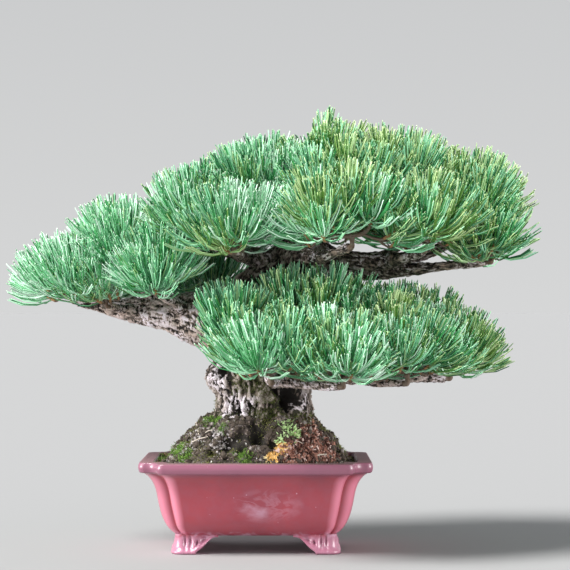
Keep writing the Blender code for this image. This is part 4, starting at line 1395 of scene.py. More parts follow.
def twig_lines(lines):
    """Each twig's line made smooth, with radii that fall from what it feeds to its tip."""
    made = []
    for (points, _), fed in zip(lines, shoots_fed(lines)):
        root = TWIG_TIP_RADIUS * min(TWIG_MOST, fed**TWIG_GROWTH)
        tip = TWIG_TIP_RADIUS if fed < 3 else root * TWIG_TAPER
        rows = through([tuple(point) for point in points], LINE_STEPS)
        count = len(rows) - 1
        line = []
        for i, row in enumerate(rows):
            knob = 1 + TWIG_KNOBS * noise.noise(Vector(row) / 2.2)
            line.append((row, (root + (tip - root) * i / count) * knob))
        made.append(line)
    return made


def stalk_lines(shoots):
    """The short stalk that each shoot's needles stand on, thickest in its middle."""
    made = []
    for bud, axis, size in shoots:
        low, high = bud - axis * STALK_BELOW * 0.9, bud + axis * STALK_ABOVE * size
        made.append([(low.lerp(high, t), radius * size) for t, radius in STALK_SWELL])
    return made


TWIG_BARK = twig_material()
STALK = plain_material("bud_stalk", STALK_ORANGE, 0.7)


def make_twigs():
    faces = 0
    for name, (lines, shoots) in GROWTH.items():
        twigs = line_piece(name + "_twigs", twig_lines(lines))
        run_tree(twigs, TWIG_TREE, {"Sides": 6, "Bark": TWIG_BARK})
        stalks = line_piece(name + "_stalks", stalk_lines(shoots))
        run_tree(stalks, TWIG_TREE, {"Sides": 5, "Bark": STALK})
        for piece in (twigs, stalks):
            piece.data.shade_smooth()
            hand_over(piece, "bark", name)
            faces += len(piece.data.polygons)
    return faces


print("twig and stalk faces:", make_twigs())

# %% [markdown]
# ## The needles
# White pine needles grow in bundles of five, three to five centimetres long, and every shoot carries
# a dense fan of them. Those at the top stand straight up, and those at the side leave low and sweep
# up until their tips point at the sky too, which gives each shoot the look of a shaving brush.
# Each one is three sided. Its back is green and its two inner faces carry the chalky lines that make
# the tree look blue-green from a distance, so one needle mesh has a green face and two pale ones.
# Its last stretch is a third, lighter colour, because the tips are what the light catches.
#
# Hair would be the usual way and is lost in an export. Here a needle of some twenty triangles is
# instanced on points by Geometry Nodes: a rule places each point, and the tree turns, scales and
# realizes it. There are three bows and three rolls of the needle, so that no two beside each other
# look the same. A spray's tint comes from where it stands and a little chance: cool on the left,
# warmer to the right and on top, and a deep green painted as shade where it hangs lowest. The needles
# past the edges that the photo shows are left out: the low pad's trimmed left side, and all but a
# narrow tuft at the crown's tip.

# %% Needle colours and shapes
NEEDLE_LENGTH = 34.0
SHOOT_GROWTH = 10.0
NEEDLE_WIDTH = 0.0155  # the radius of a needle as a share of its length
STRAIGHT_SECTIONS = ((0.0, 0.85), (0.5, 1.0), (0.965, 0.88))
BOWED_SECTIONS = ((0.0, 0.85), (0.34, 1.0), (0.68, 1.0), (0.97, 0.86))
NEEDLE_BOWS = (0.0, 0.06, 0.13)
NEEDLE_ROLLS = (-1.05, 0.0, 1.05)
# Each tint from cool to warm: the needle's back, its chalky inner faces and its tip
TINTS = {
    "mint": ((0.13, 0.40, 0.19), (0.76, 0.99, 0.83), (0.84, 0.99, 0.82)),
    "fresh": ((0.05, 0.31, 0.09), (0.50, 0.91, 0.60), (0.62, 0.95, 0.60)),
    # The deep tint is also the painted shade of the sprays that hang lowest
    "deep": ((0.018, 0.14, 0.05), (0.23, 0.56, 0.34), (0.34, 0.66, 0.38)),
    "leafy": ((0.06, 0.19, 0.03), (0.42, 0.63, 0.31), (0.56, 0.75, 0.37)),
    "straw": ((0.13, 0.25, 0.05), (0.64, 0.82, 0.41), (0.76, 0.90, 0.47)),
}
NEEDLE_PARTS = ("back", "inner", "tip")
NEEDLE_ROUGHNESS = 0.32


def needle_shape(name, bow, roll):
    """A three-sided needle one unit long that sags away from +X, its parts numbered by face."""
    sections = BOWED_SECTIONS if bow else STRAIGHT_SECTIONS
    places = []
    for height, width in sections:
        for corner in range(3):
            angle = math.tau * corner / 3 + roll
            across = NEEDLE_WIDTH * width
            sag = -4 * bow * height * (1 - height)
            places.append((sag + across * math.cos(angle), across * math.sin(angle), height))
    places.append((0, 0, 1))
    faces = stack_faces(0, len(sections), 3)
    parts = [1, 0, 1] * (len(sections) - 1) + [2, 2, 2, 0]
    last = len(sections) * 3 - 3
    faces += [(last + i, last + (i + 1) % 3, last + 3) for i in range(3)]
    faces.append((2, 1, 0))
    mesh = bpy.data.meshes.new(name)
    mesh.from_pydata(places, [], faces)
    set_values(mesh, "part", parts, "FACE")
    return bpy.data.objects.new(name, mesh)


NEEDLE_SHAPES = bpy.data.collections.new("needle_shapes")
for bow_number, bow in enumerate(NEEDLE_BOWS):
    for roll_number, roll in enumerate(NEEDLE_ROLLS):
        NEEDLE_SHAPES.objects.link(needle_shape(f"needle_{bow_number}_{roll_number}", bow, roll))
NEEDLE_FINISHES = [
    plain_material(f"needle_{tint}_{part}", colour, NEEDLE_ROUGHNESS)
    for tint, colours in TINTS.items()
    for part, colour in zip(NEEDLE_PARTS, colours)
]

# %% The needle tree
def needle_tree():
    """Stands a needle on every point, turned and sized by the point's values, then colours it."""
    inputs = {"Shapes": ("Collection", None), "Size": ("Float", 1.0)}
    inputs.update({finish.name: ("Material", None) for finish in NEEDLE_FINISHES})
    tree, given, out = node_tree("needle_fans", inputs)
    way, inside = named(tree, "way", "FLOAT_VECTOR"), named(tree, "inside", "FLOAT_VECTOR")
    axes = {"Primary Axis": way, "Secondary Axis": inside}
    turn = add_node(tree, "FunctionNodeAxesToRotation", axes, primary_axis="Z", secondary_axis="X")
    size = calculate(tree, "MULTIPLY", named(tree, "reach"), given["Size"])
    turned = {"Rotation": turn.outputs[0], "Scale": size, "Instance Index": named(tree, "shape", "INT")}
    stood = stand(tree, given["Geometry"], given["Shapes"], **turned)
    number = calculate(tree, "MULTIPLY_ADD", named(tree, "tint"), len(NEEDLE_PARTS), named(tree, "part"))
    dressed = []
    for place, finish in enumerate(NEEDLE_FINISHES):
        inputs = {0: number, 1: place, "Epsilon": 0.1}
        chosen = add_node(tree, "FunctionNodeCompare", inputs, data_type="FLOAT", operation="EQUAL")
        dressed.append((given[finish.name], chosen.outputs["Result"]))
    end_tree(tree, stood, out, *dressed)
    return tree


NEEDLE_TREE = needle_tree()
print("needle tree nodes:", len(NEEDLE_TREE.nodes))

# %% Where every needle stands
BUNDLES = 22  # bundles on a full shoot
LEAST_BUNDLES = 6
SIZE_POWER = 1.5  # how fast the bundles get fewer on a smaller shoot
PER_BUNDLE = 5
NEEDLE_SPREAD = math.radians(80)
SPREAD_POWER = 0.88  # under 1, more of the bundles lean out
BUNDLE_OPENING = 0.055
NEEDLE_LIFT = 0.28
LEAST_RISE = 0.15  # chords flatter than this are lifted
RISE_SHARE = 0.75  # by this share of what they lack
REACH_CHANCES = (0.9, 1.03)
ROLL_CHANCE = 0.25  # how much chance there is in which way a needle's back faces, and in its bow
BOW_CHANCE = 0.2
BOW_ANGLES = (0.42, 0.85)  # from upright: past the first a needle bows, past the second it bows most
BOX_SPARE = 2.0
# The low pad is trimmed along this line, across and up, so that the trunk's knob stays in view
TRIM_LINE = ((-41.0, 160.0), (-3.0, 141.0))
TRIM_LEFT = -48.0
# The crown's tip is one narrow tuft, that stands free above these heights on its left and right
TUFT_ACROSS = 57.0
TUFT_HALF_WIDTH = 15.0
TUFT_FEET = (334.0, 348.0)
TUFT_TAPER = 0.3
SHORT_SHOOTS = {"left_low": 0.7}  # masses whose needles are shorter than the rest
LEFT_END = -145.0
WARMTH_LEFT = 0.16
WARMTH_ACROSS = 1 / 720
WARMTH_UP = 1 / 250  # for each millimetre above the crown's shoulder
CROWN_SHOULDER = 264.0
WARMTH_CHANCE = 0.2
SHADE_WARMTH = 0.5  # the deep green painted as shade on the sprays that hang lowest in their mass
SHADE_DEPTH = 12.0
SHADE_ABOVE = 2.0  # how far above its mass's outermost buds that shade begins
TINT_STRAYS = 0.7  # how far single needles stray from their spray's tint


def side_vectors(axis):
    """Two unit vectors square to an axis and to each other."""
    first = axis.orthogonal().normalized()
    return np.array(first), np.array(axis.cross(first))


def lengths(rows):
    return np.linalg.norm(rows, axis=1)[:, None]


def spray(bud, axis, size, chance):
    """A shoot's needles: their roots and tips in millimetres."""
    count = max(LEAST_BUNDLES, round(BUNDLES * size**SIZE_POWER))
    share = (np.arange(count) + 0.5) / count
    polar = NEEDLE_SPREAD * share**SPREAD_POWER
    around = chance.uniform(0, math.tau) + np.arange(count) * GOLDEN_ANGLE
    first, other = side_vectors(axis)
    out = np.cos(around)[:, None] * first + np.sin(around)[:, None] * other
    line = np.array(axis)
    way = np.cos(polar)[:, None] * line + np.sin(polar)[:, None] * out
    height = STALK_ABOVE * size * (1 - share) - STALK_BELOW * 0.4 * share
    root = np.array(bud) + height[:, None] * line + out
    way = np.repeat(way, PER_BUNDLE, axis=0)
    way += chance.normal(0, BUNDLE_OPENING, way.shape) + NEEDLE_LIFT * np.array(UP)
    way /= lengths(way)
    way[:, 2] += np.maximum(0, LEAST_RISE - way[:, 2]) * RISE_SHARE
    way /= lengths(way)
    straight = np.clip(way @ line, 0, 1)
    reach = (NEEDLE_LENGTH + SHOOT_GROWTH * straight) * size
    reach = reach * chance.uniform(*REACH_CHANCES, len(way))
    return np.repeat(root, PER_BUNDLE, axis=0), np.array(bud) + way * reach[:, None]


def spray_tints(bud, mass_height, count, chance):
    """A spray's tint, cooler to the left, warmer to the right and on top, and a deep green painted
    underneath as shade.
    """
    warmth = WARMTH_LEFT + (bud.x - LEFT_END) * WARMTH_ACROSS + max(0, bud.z - CROWN_SHOULDER) * WARMTH_UP
    # Sprays low in their mass are pulled towards the deep green, as painted shade
    shaded = unit((mass_height + SHADE_ABOVE - bud.z) / SHADE_DEPTH)
    warmth += (SHADE_WARMTH - warmth) * shaded
    tint = (warmth + chance.normal(0, WARMTH_CHANCE)) * len(TINTS)
    strays = chance.normal(0, TINT_STRAYS, count)
    return np.clip(np.floor(tint + strays), 0, len(TINTS) - 1).astype(int)


def trimmed_off(tips):
    """Which needles of the low pad hang below its trimmed edge or reach too far to the left."""
    (left, left_height), (right, right_height) = TRIM_LINE
    line = left_height + (tips[:, 0] - left) * (right_height - left_height) / (right - left)
    hanging = (tips[:, 0] < right) & (tips[:, 1] < 0) & (tips[:, 2] < line)
    return hanging | (tips[:, 0] < TRIM_LEFT)


def beside_tuft(tips):
    """Which needles of the crown's tip stand beside its tuft."""
    across = tips[:, 0] - TUFT_ACROSS
    rise = tips[:, 2] - np.where(across < 0, *TUFT_FEET)
    return (rise > 0) & (np.abs(across) > TUFT_HALF_WIDTH - TUFT_TAPER * rise)


def keep_clear(roots, tips):
    """Which needles keep off every limb and inside the solids' own box."""
    low = np.array(cad_box[0]) / MM - np.array(POT_MIDDLE) - BOX_SPARE
    high = np.array(cad_box[1]) / MM - np.array(POT_MIDDLE) + BOX_SPARE
    clear = np.all((tips > low) & (tips < high), axis=1)
    for path in PATHS.values():
        for (start, radius), (end, next_radius) in zip(path, path[1:]):
            along = np.array(end - start)
            for part in (0.5, 0.75, 1.0):
                spot = roots + (tips - roots) * part - np.array(start)
                share = np.clip(spot @ along / (along @ along), 0, 1)
                away = np.linalg.norm(spot - share[:, None] * along, axis=1)
                clear &= away > radius + (next_radius - radius) * share + 0.5
    return clear


def needle_points(name, shoots):
    """The points of a mass's needles, with the values that the needle tree reads."""
    chance = np.random.default_rng(sum(map(ord, name)))
    roots, tips, tints, axes = [], [], [], []
    for bud, axis, size in shoots:
        root, tip = spray(bud, axis, size * SHORT_SHOOTS.get(name, 1.0), chance)
        roots.append(root)
        tips.append(tip)
        tints.append(spray_tints(bud, MASSES[name][0][2], len(root), chance))
        axes.append(np.tile(np.array(axis), (len(root), 1)))
    roots, tips, tints, axes = (np.concatenate(rows) for rows in (roots, tips, tints, axes))
    keep = keep_clear(roots, tips)
    if name.startswith("low"):
        keep &= ~trimmed_off(tips)
    if name in ("crown_apex", "crown_top_right"):
        keep &= ~beside_tuft(tips)
    roots, tips, tints, axes = roots[keep], tips[keep], tints[keep], axes[keep]
    way = tips - roots
    reach = lengths(way)
    way /= reach
    inside = axes + np.array(UP) + chance.normal(0, ROLL_CHANCE, axes.shape)
    inside -= (inside * way).sum(1)[:, None] * way
    inside /= lengths(inside) + 1e-9
    upright = np.arccos(np.clip(way[:, 2], -1, 1)) + chance.normal(0, BOW_CHANCE, len(way))
    shape = np.digitize(upright, BOW_ANGLES) * len(NEEDLE_ROLLS)
    shape += chance.integers(0, len(NEEDLE_ROLLS), len(way))
    return roots, {"way": way, "inside": inside, "reach": reach * MM, "tint": tints, "shape": shape}


def point_piece(name, places, values):
    """A piece of loose points with the given values on them."""
    mesh = bpy.data.meshes.new(name)
    mesh.from_pydata(((places + np.array(POT_MIDDLE)) * MM).tolist(), [], [])
    for label, numbers in values.items():
        set_values(mesh, label, numbers)
    return new_object(name, mesh)


def count_triangles(piece):
    return sum(len(face.vertices) - 2 for face in piece.data.polygons)


def make_needles():
    stood, triangles = 0, 0
    settings = {"Shapes": NEEDLE_SHAPES, "Size": 1.0}
    settings.update({finish.name: finish for finish in NEEDLE_FINISHES})
    for name, (_, shoots) in GROWTH.items():
        roots, values = needle_points(name, shoots)
        piece = point_piece(name + "_needles", roots, values)
        run_tree(piece, NEEDLE_TREE, settings)
        hand_over(piece, "needles", name)
        stood += len(roots)
        triangles += count_triangles(piece)
    return stood, triangles


print("needles and their triangles:", make_needles())

# %% [markdown]
# ## The soil
# The root ball stands well above the rim as a steep mound of dark soil, washed into hollows, with
# lumps, chips and moss on it. The ground itself is one closed surface: rings run from under the
# trunk down the mound and out to the pot's inner wall, then down inside the pot. Noise roughens the
# part that shows. As on the trunk, each hollow is given by where it is seen, across and up, and the
# mound's own curve says how far forward that is.

# %% Shape the soil
MOUND_TOP = 106.0
MOUND_BOTTOM = 65.0
MOUND_FOOT = (75.0, 53.0)
MOUND_SHOULDER = (42.5, 41.5)
MOUND_CURVE = 1.35
MOUND_SHIFT = 2.0
FILL_TOP = 69.6
WALL_INSET = 11.4
WALL_NOTCH = 12.0
WALL_GROOVE = 7.0
FILL_BOTTOM = ((45.0, 20.0), (21.0, 31.0))  # height, and how far inside the lip the soil ends there
GROUND_SIDES = 220
FLANK_RINGS = 44
FLAT_RINGS = 12
NECK_RADIUS = 20  # the ground's first ring, out of sight under the trunk
LUMP_SIZE, LUMP_HEIGHT = 13, 3.6
CRUMB_SIZE, CRUMB_HEIGHT = 4.5, 1.6
FLANK_LEAN = (0.8, 0.7)  # the way in which the mound's flank is roughened: out, and up
RELIEF_PER_MM = 0.13  # how much lighter the soil is as it stands out; its hollows are painted near black as shade
FILL_SQUEEZE = 0.97
FILL_RELIEF = 0.3
SOIL_PATCHES = (150, 1400, 4.0)
SOIL_BLACK = (0.02, 0.016, 0.012)
SOIL_BROWN = (0.1, 0.077, 0.066)
SOIL_GREY = (0.3, 0.265, 0.25)
# Hollows washed into the mound: where across and how high, their reach and their depth
SOIL_PITS = (
    ((-23, 88), 6.5, 9.0), ((1, 93), 6.5, 9.0), ((-10, 84), 5.0, 6.0), ((-13, 94), 5.0, 6.0),
    ((13, 88), 4.5, 5.0), ((-34, 93), 4.5, 5.0), ((34, 83), 4.0, 4.0), ((-52, 84), 4.0, 4.0),
    ((-36, 80), 4.0, 4.0), ((-4, 102), 5.0, 5.0), ((46, 92), 4.0, 4.0), ((24, 76), 4.0, 4.0),
)


def mound_size(height):
    """The mound's half width and half depth at a height."""
    share = unit((height - MOUND_BOTTOM) / (MOUND_TOP - MOUND_BOTTOM))
    bulge = 1 - share**MOUND_CURVE
    return [top + (foot - top) * bulge for top, foot in zip(MOUND_SHOULDER, MOUND_FOOT)]


def on_mound(across, height):
    """The point of the mound's front that is seen at a place across and at a height."""
    half_x, half_y = mound_size(height)
    deep = math.sqrt(max(0.0, 1 - ((across - MOUND_SHIFT) / half_x) ** 2))
    return Vector((across, -half_y * deep, height))


def wall_point(angle):
    """Where a ray from the middle of the pot meets its inner wall's outline."""
    half_width, half_depth = RIM_HALF_WIDTH - WALL_INSET, RIM_HALF_DEPTH - WALL_INSET
    outline = notched_outline(half_width, half_depth, WALL_NOTCH, WALL_GROOVE)
    way = Vector((math.cos(angle), math.sin(angle)))
    best = min(outline, key=lambda point: Vector(point).angle(way))
    return Vector((*best, FILL_TOP))


def soil_profile(angle):
    """One line of ground from under the trunk to the pot's wall."""
    cos, sin = math.cos(angle), math.sin(angle)
    line = [Vector((MOUND_SHIFT + NECK_RADIUS * cos, NECK_RADIUS * sin, MOUND_TOP + 1))]
    for ring in range(FLANK_RINGS + 1):
        height = MOUND_TOP + (FILL_TOP - MOUND_TOP) * ring / FLANK_RINGS
        half_x, half_y = mound_size(height)
        line.append(Vector((MOUND_SHIFT + half_x * cos, half_y * sin, height)))
    foot, wall = line[-1], wall_point(angle)
    line += [foot.lerp(wall, ring / FLAT_RINGS) for ring in range(1, FLAT_RINGS + 1)]
    return line


def roughness_at(place):
    """How far the ground stands out of the mound's smooth curve at a place."""
    rise = noise.fractal(place / LUMP_SIZE, 0.7, 2.1, 4) * LUMP_HEIGHT
    (near, *_), _ = noise.voronoi(place / CRUMB_SIZE)
    rise += (0.5 - near) * CRUMB_HEIGHT
    for (across, height), reach, depth in SOIL_PITS:
        away = (place - on_mound(across, height)).length / reach
        if away < 2.2:
            rise -= depth * math.exp(-(away**3))
    return rise


def soil_material():
    material = plain_material("soil", SOIL_BROWN, 0.95)
    tree = material.node_tree
    patches, grain = add_mottle(tree, *SOIL_PATCHES)
    # By relief: near black in the hollows, as painted shade, and greyer where the ground stands out
    stops = ((0.1, SOIL_BLACK), (0.45, SOIL_BROWN), (0.8, SOIL_GREY))
    colour = add_ramp(tree, read_value(tree, "relief"), stops)
    colour = mix_colours(tree, between(tree, patches, 0.4, 1.3), colour, SOIL_BLACK)
    set_look(tree, colour, grain, 0.9, 0.0008)
    return material


def make_soil():
    columns = [soil_profile(math.tau * side / GROUND_SIDES) for side in range(GROUND_SIDES)]
    places, reliefs = [], []
    rings = len(columns[0])
    for ring in range(rings):
        steep = FLANK_LEAN[0] if ring <= FLANK_RINGS else 0.0
        for side, column in enumerate(columns):
            angle = math.tau * side / GROUND_SIDES
            out = Vector((math.cos(angle) * steep, math.sin(angle) * steep, FLANK_LEAN[1])).normalized()
            rise = roughness_at(column[ring]) if ring < rings - 1 else 0.0
            places.append(column[ring] + out * rise)
            reliefs.append(unit(0.5 + rise * RELIEF_PER_MM))
    for height, inset in FILL_BOTTOM:
        shrink = (RIM_HALF_WIDTH - inset) / (RIM_HALF_WIDTH - WALL_INSET)
        for column in columns:
            wall = column[-1]
            places.append(Vector((wall.x * shrink, wall.y * shrink * FILL_SQUEEZE, height)))
            reliefs.append(FILL_RELIEF)
    faces = [face[::-1] for face in stack_faces(0, rings + len(FILL_BOTTOM), GROUND_SIDES)]
    faces.append(tuple(range(GROUND_SIDES)))
    faces.append(tuple(range(len(places) - GROUND_SIDES, len(places)))[::-1])
    made = make_piece("soil_ground", places, faces, soil_material())
    set_values(made.data, "relief", reliefs)
    face_outwards(made)
    return made


ground = make_soil()
print("ground faces:", len(ground.data.polygons))

# %% [markdown]
# ## Grit, chips and moss
# What covers the soil is thousands of loose bits, and they are what makes it read as soil: dark
# crumbs everywhere, rosy brown bark chips down the right, a drift of orange ones at its edge, a
# little grit, a few white grains and dry twigs. Moss grows in bright cushions beside the trunk and at
# the left rim, in an olive felt on the right flank and on the trunk's foot, and as a leafy kind above
# the chips. Geometry Nodes scatter them: one tree, run once for each kind with its own shapes,
# density and finish. Where each kind lies is a number stored on the ground's points.

# %% The scatter tree and its shapes
def scatter_tree():
    inputs = {
        "Shapes": ("Collection", None), "Where": ("String", ""), "Density": ("Float", 1.0),
        "Smallest": ("Float", 0.5), "Largest": ("Float", 1.0), "Upright": ("Float", 0.0),
        "Seed": ("Int", 1), "Finish": ("Material", None),
    }
    tree, given, out = node_tree("scatter_bits", inputs)
    density = calculate(tree, "MULTIPLY", named(tree, given["Where"]), given["Density"])
    inputs = {"Mesh": given["Geometry"], "Density": density, "Seed": given["Seed"]}
    points = add_node(tree, "GeometryNodeDistributePointsOnFaces", inputs)
    inputs = {"Min": (-math.pi,) * 3, "Max": (math.pi,) * 3, "Seed": given["Seed"]}
    spin = add_node(tree, "FunctionNodeRandomValue", inputs, data_type="FLOAT_VECTOR")
    loose = add_node(tree, "FunctionNodeEulerToRotation", {"Euler": spin.outputs["Value"]}).outputs[0]
    inputs = {"Rotation": loose, "Factor": given["Upright"], "Vector": points.outputs["Normal"]}
    turn = add_node(tree, "FunctionNodeAlignRotationToVector", inputs, axis="Z").outputs[0]
    inputs = {2: given["Smallest"], 3: given["Largest"], "Seed": given["Seed"]}
    size = add_node(tree, "FunctionNodeRandomValue", inputs, data_type="FLOAT").outputs[1]
    stood = stand(tree, points.outputs["Points"], given["Shapes"], Rotation=turn, Scale=size)
    end_tree(tree, stood, out, (given["Finish"], True))
    return tree


def grain_shape(name, size, seed):
    """A broken grain a millimetre across: a box with its corners pushed about."""
    chance = random.Random(seed)
    bm = bmesh.new()
    bmesh.ops.create_cube(bm, size=0.8 * MM)
    for vert in bm.verts:
        push = [1 + chance.uniform(-0.5, 0.35) for _ in range(3)]
        vert.co = Vector([v * s * p for v, s, p in zip(vert.co, size, push)])
    return bpy.data.objects.new(name, new_mesh(name, bm))


def clod_shape(name, seed):
    """A crumb of soil a millimetre across, as a deeply dented ball."""
    bm = bmesh.new()
    bmesh.ops.create_icosphere(bm, subdivisions=1, radius=0.55 * MM)
    for vert in bm.verts:
        vert.co *= 1 + 0.7 * noise.noise(vert.co / MM * 2.6 + Vector((seed, 0, 0)))
    return bpy.data.objects.new(name, new_mesh(name, bm))


def leaf_shape(name, height, half_width, lean):
    """A moss leaf: a three-sided blade with a sunk foot, bent over at its tip."""
    bm = bmesh.new()
    places = ((0, 0, -0.3), (lean * 0.3, half_width, height * 0.5), (lean * 0.3, -half_width, height * 0.5),
              (-0.1, 0, height * 0.45), (lean, 0, height))
    foot, left, right, back, tip = (bm.verts.new(Vector(place) * MM) for place in places)
    for face in ((foot, right, left), (foot, left, back), (foot, back, right),
                 (tip, left, right), (tip, back, left), (tip, right, back)):
        bm.faces.new(face)
    return bpy.data.objects.new(name, new_mesh(name, bm))


def shape_set(name, shapes):
    collection = bpy.data.collections.new(name)
    for shape in shapes:
        collection.objects.link(shape)
    return collection


GRAINS = shape_set("grain_shapes", [grain_shape(f"grain_{i}", (1, 0.9, 0.75), i) for i in range(5)])
CHIPS = shape_set("chip_shapes", [grain_shape(f"chip_{i}", (1.5, 1.2, 0.5), i + 20) for i in range(5)])
STICKS = shape_set("stick_shapes", [grain_shape(f"stick_{i}", (9, 0.6, 0.5), i + 40) for i in range(4)])
CLODS = shape_set("clod_shapes", [clod_shape(f"clod_{i}", i * 4.1) for i in range(4)])
MOSS = shape_set("moss_shapes", [leaf_shape(f"moss_{i}", 1.5 + 0.4 * i, 0.16, 0.4 * i) for i in range(3)])
FRONDS = shape_set("frond_shapes", [leaf_shape(f"frond_{i}", 3.0, 1.0, 1.2 + 0.5 * i) for i in range(3)])
SCATTER = scatter_tree()
print("kinds of bits:", [shapes.name for shapes in (GRAINS, CHIPS, STICKS, CLODS, MOSS, FRONDS)])

# %% Where each kind lies, and scatter them
# Each patch: where across and how high it is seen, and its reach
PATCHES = {
    "bright_moss": (((-32, 105), 6.5), ((-38, 102), 4), ((-62, 80), 8), ((-56, 76), 6), ((-9, 76), 7),
                    ((-26, 99), 4)),
    "leafy_moss": (((25, 98), 6), ((30, 95), 5), ((21, 92), 3.5)),
    "olive_moss": (((62, 92), 14), ((54, 98), 10), ((66, 84), 9), ((-48, 96), 9), ((-14, 78), 7),
                   ((-40, 77), 12), ((8, 104), 9), ((40, 103), 9), ((70, 78), 6), ((-55, 86), 8)),
    "rosy": (((44, 86), 17), ((34, 79), 14), ((55, 80), 12), ((26, 86), 7), ((48, 95), 8)),
    "orange": (((17, 80), 6), ((22, 85), 5), ((13, 77), 5)),
    "grey": (((-50, 92), 14), ((-30, 90), 10), ((-58, 84), 10)),
}
GROUND_BACK = 5  # behind this, noise deals some kinds: its size, its shift, its strength, its level
BACK_PATCHES = {
    "olive_moss": (15, (0, 0, 0), 1, 0.55),
    "bright_moss": (12, (9, 0, 0), 2, -0.4),
    "rosy": (18, (0, 9, 0), 2, -0.2),
}
# How thick a patch is in its middle, how ragged its edge and how steeply it thins out
PATCH_FULL, PATCH_RAGGED, RAG_SIZE, PATCH_GAIN = 1.15, 0.8, 3.5, 1.8
STRAY_MOSS = 0.07  # olive moss grows this thickly everywhere
COVERS = {"bright_moss": 1.0, "orange": 1.0, "olive_moss": 0.7, "rosy": 0.6}  # how far each hides soil
TRUNK_FOOT = 30  # nothing lies nearer the mound's middle than this
PIT_RELIEF = 0.22  # below this the ground is a hollow, where nothing lies
# Each kind: its shapes, where it lies, how many a square centimetre, sizes in mm, upright, colour
KINDS = {
    "soil_clods": (CLODS, "bare", 8, (1.6, 4.6), 0.0, (0.075, 0.056, 0.042)),
    "soil_grey_clods": (CLODS, "bare", 2, (1.4, 3.6), 0.0, (0.3, 0.26, 0.24)),
    "soil_dark_chips": (CHIPS, "bare", 20, (0.8, 2.4), 0.25, (0.075, 0.058, 0.05)),
    "soil_brown_grit": (GRAINS, "bare", 22, (0.7, 2.0), 0.0, (0.22, 0.17, 0.145)),
    "soil_grey_grit": (GRAINS, "grey", 44, (0.7, 2.4), 0.0, (0.5, 0.46, 0.46)),
    "soil_rosy_chips": (CHIPS, "rosy", 34, (1.2, 3.6), 0.1, (0.36, 0.17, 0.125)),
    "soil_rosy_dark": (CHIPS, "rosy", 26, (1.2, 3.8), 0.1, (0.1, 0.045, 0.035)),
    "soil_rosy_pale": (CHIPS, "rosy", 16, (0.9, 3.2), 0.1, (0.8, 0.6, 0.54)),
    "soil_orange_chips": (CHIPS, "orange", 60, (1.0, 2.6), 0.2, (0.8, 0.48, 0.15)),
    "soil_straw_chips": (CHIPS, "orange", 36, (1.0, 2.4), 0.2, (0.9, 0.74, 0.4)),
    "soil_white_grains": (GRAINS, "bare", 0.5, (0.9, 2.2), 0.0, (0.72, 0.7, 0.66)),
    "soil_dry_twigs": (STICKS, "bare", 0.5, (0.3, 0.8), 0.6, (0.42, 0.33, 0.22)),
    "moss_bright": (MOSS, "bright_moss", 260, (0.7, 1.4), 0.8, (0.12, 0.26, 0.03)),
    "moss_bright_tips": (MOSS, "bright_moss", 80, (1.0, 1.7), 0.8, (0.33, 0.5, 0.12)),
    "moss_leafy": (FRONDS, "leafy_moss", 130, (0.6, 1.3), 0.5, (0.56, 0.76, 0.36)),
    "moss_olive": (MOSS, "olive_moss", 100, (0.6, 1.2), 0.75, (0.15, 0.17, 0.035)),
    "moss_olive_pale": (MOSS, "olive_moss", 40, (0.7, 1.3), 0.75, (0.34, 0.33, 0.12)),
}
# Pale dry twigs lying on the mound: where each end is seen, across and up, and its radius
LOOSE_TWIGS = (
    ((-48.5, 100), (-45.5, 92), 0.9), ((-51, 86), (-38, 91), 0.45), ((45, 75.5), (56, 77), 0.6),
    ((-40, 94), (-34, 96), 0.4), ((31, 88), (37, 86), 0.4),
)
DRY_TWIG = (0.6, 0.52, 0.44)
TRUNK_MOSS = (MOSS, "moss", 95, (0.5, 1.2), 0.7, (0.13, 0.16, 0.035))
FIRST_SEED, TRUNK_MOSS_SEED = 11, 31


def patch_value(place, patches):
    """How thick one kind lies at a place: 1 well inside a patch, with a ragged edge."""
    value = 0.0
    for (across, height), reach in patches:
        away = (place - on_mound(across, height)).length / reach
        if away < 2:
            value = max(value, PATCH_FULL - away + PATCH_RAGGED * noise.noise(place / RAG_SIZE))
    return unit(value * PATCH_GAIN)


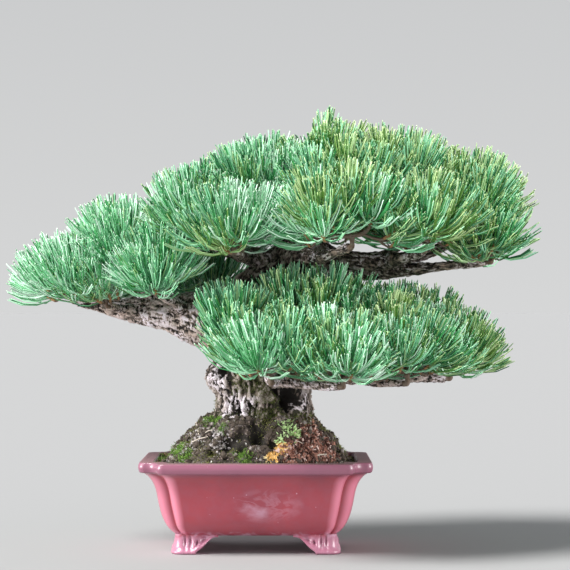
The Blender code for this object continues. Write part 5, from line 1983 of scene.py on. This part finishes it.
def store_places():
    """Store on the ground's points how much of each kind lies there."""
    names = [*PATCHES, "bare"]
    values = {name: [] for name in names}
    for vert, relief in zip(ground.data.vertices, ground.data.attributes["relief"].data):
        place = vert.co / MM - POT_MIDDLE
        is_open = place.z > FILL_TOP - 3 and math.hypot(place.x - MOUND_SHIFT, place.y) > TRUNK_FOOT
        found = {name: patch_value(place, patches) for name, patches in PATCHES.items()}
        if place.y > GROUND_BACK:
            for name, (size, shift, strength, level) in BACK_PATCHES.items():
                found[name] = max(0.0, noise.noise(place / size + Vector(shift)) * strength + level)
        found["olive_moss"] = max(found["olive_moss"], STRAY_MOSS) * (1 - found["bright_moss"])
        covered = max(share * found[name] for name, share in COVERS.items())
        found["bare"] = (1 - covered) * (relief.value > PIT_RELIEF)
        for name in names:
            values[name].append(found[name] * is_open)
    for name in names:
        set_values(ground.data, name, values[name])


def scatter(base, name, seed, shapes, where, per_square_cm, sizes, upright, colour):
    piece = new_object(name, base.data.copy())
    piece.data.materials.clear()
    values = {
        "Shapes": shapes, "Where": where, "Density": per_square_cm * 1e4, "Smallest": sizes[0],
        "Largest": sizes[1], "Upright": upright, "Seed": seed, "Finish": plain_material(name, colour, 0.9),
    }
    return run_tree(piece, SCATTER, values)


def lay_twigs():
    finish = plain_material("dry_twig", DRY_TWIG, 0.8)
    lines = []
    for start, end, radius in LOOSE_TWIGS:
        ends = [on_mound(*start) + Vector((0, -2, 1)), on_mound(*end) + Vector((0, -2, 1))]
        middle = ends[0].lerp(ends[1], 0.45) + Vector((0, -1.5, 0.8))
        lines.append([(ends[0], radius), (middle, radius), (ends[1], radius * 0.6)])
    twigs = line_piece("soil_loose_twigs", lines)
    run_tree(twigs, TWIG_TREE, {"Sides": 6, "Bark": finish})
    return hand_over(twigs, "soil", "root_ball")


store_places()
bits = 0
for seed, (name, kind) in enumerate(KINDS.items(), FIRST_SEED):
    piece = hand_over(scatter(ground, name, seed, *kind), "soil", "root_ball")
    bits += count_triangles(piece)
    print(name, "triangles:", count_triangles(piece))
lay_twigs()
hand_over(ground, "soil", "root_ball")
trunk_moss = scatter(trunk, "trunk_moss", TRUNK_MOSS_SEED, *TRUNK_MOSS)
hand_over(trunk_moss, "soil", "trunk")
print("triangles of bits:", bits, "on the trunk:", count_triangles(trunk_moss))

# %% [markdown]
# ## Sizes and the end
# The looks must not change the size of the thing, so the box of the solids and the box of what is
# shown now are printed side by side.

# %% Write the sizes and finish
seen_box = [list(corner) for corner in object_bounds()]
for label, (low, high) in (("solids", cad_box), ("shown", seen_box)):
    print(label, [round((b - a) / MM, 1) for a, b in zip(low, high)])
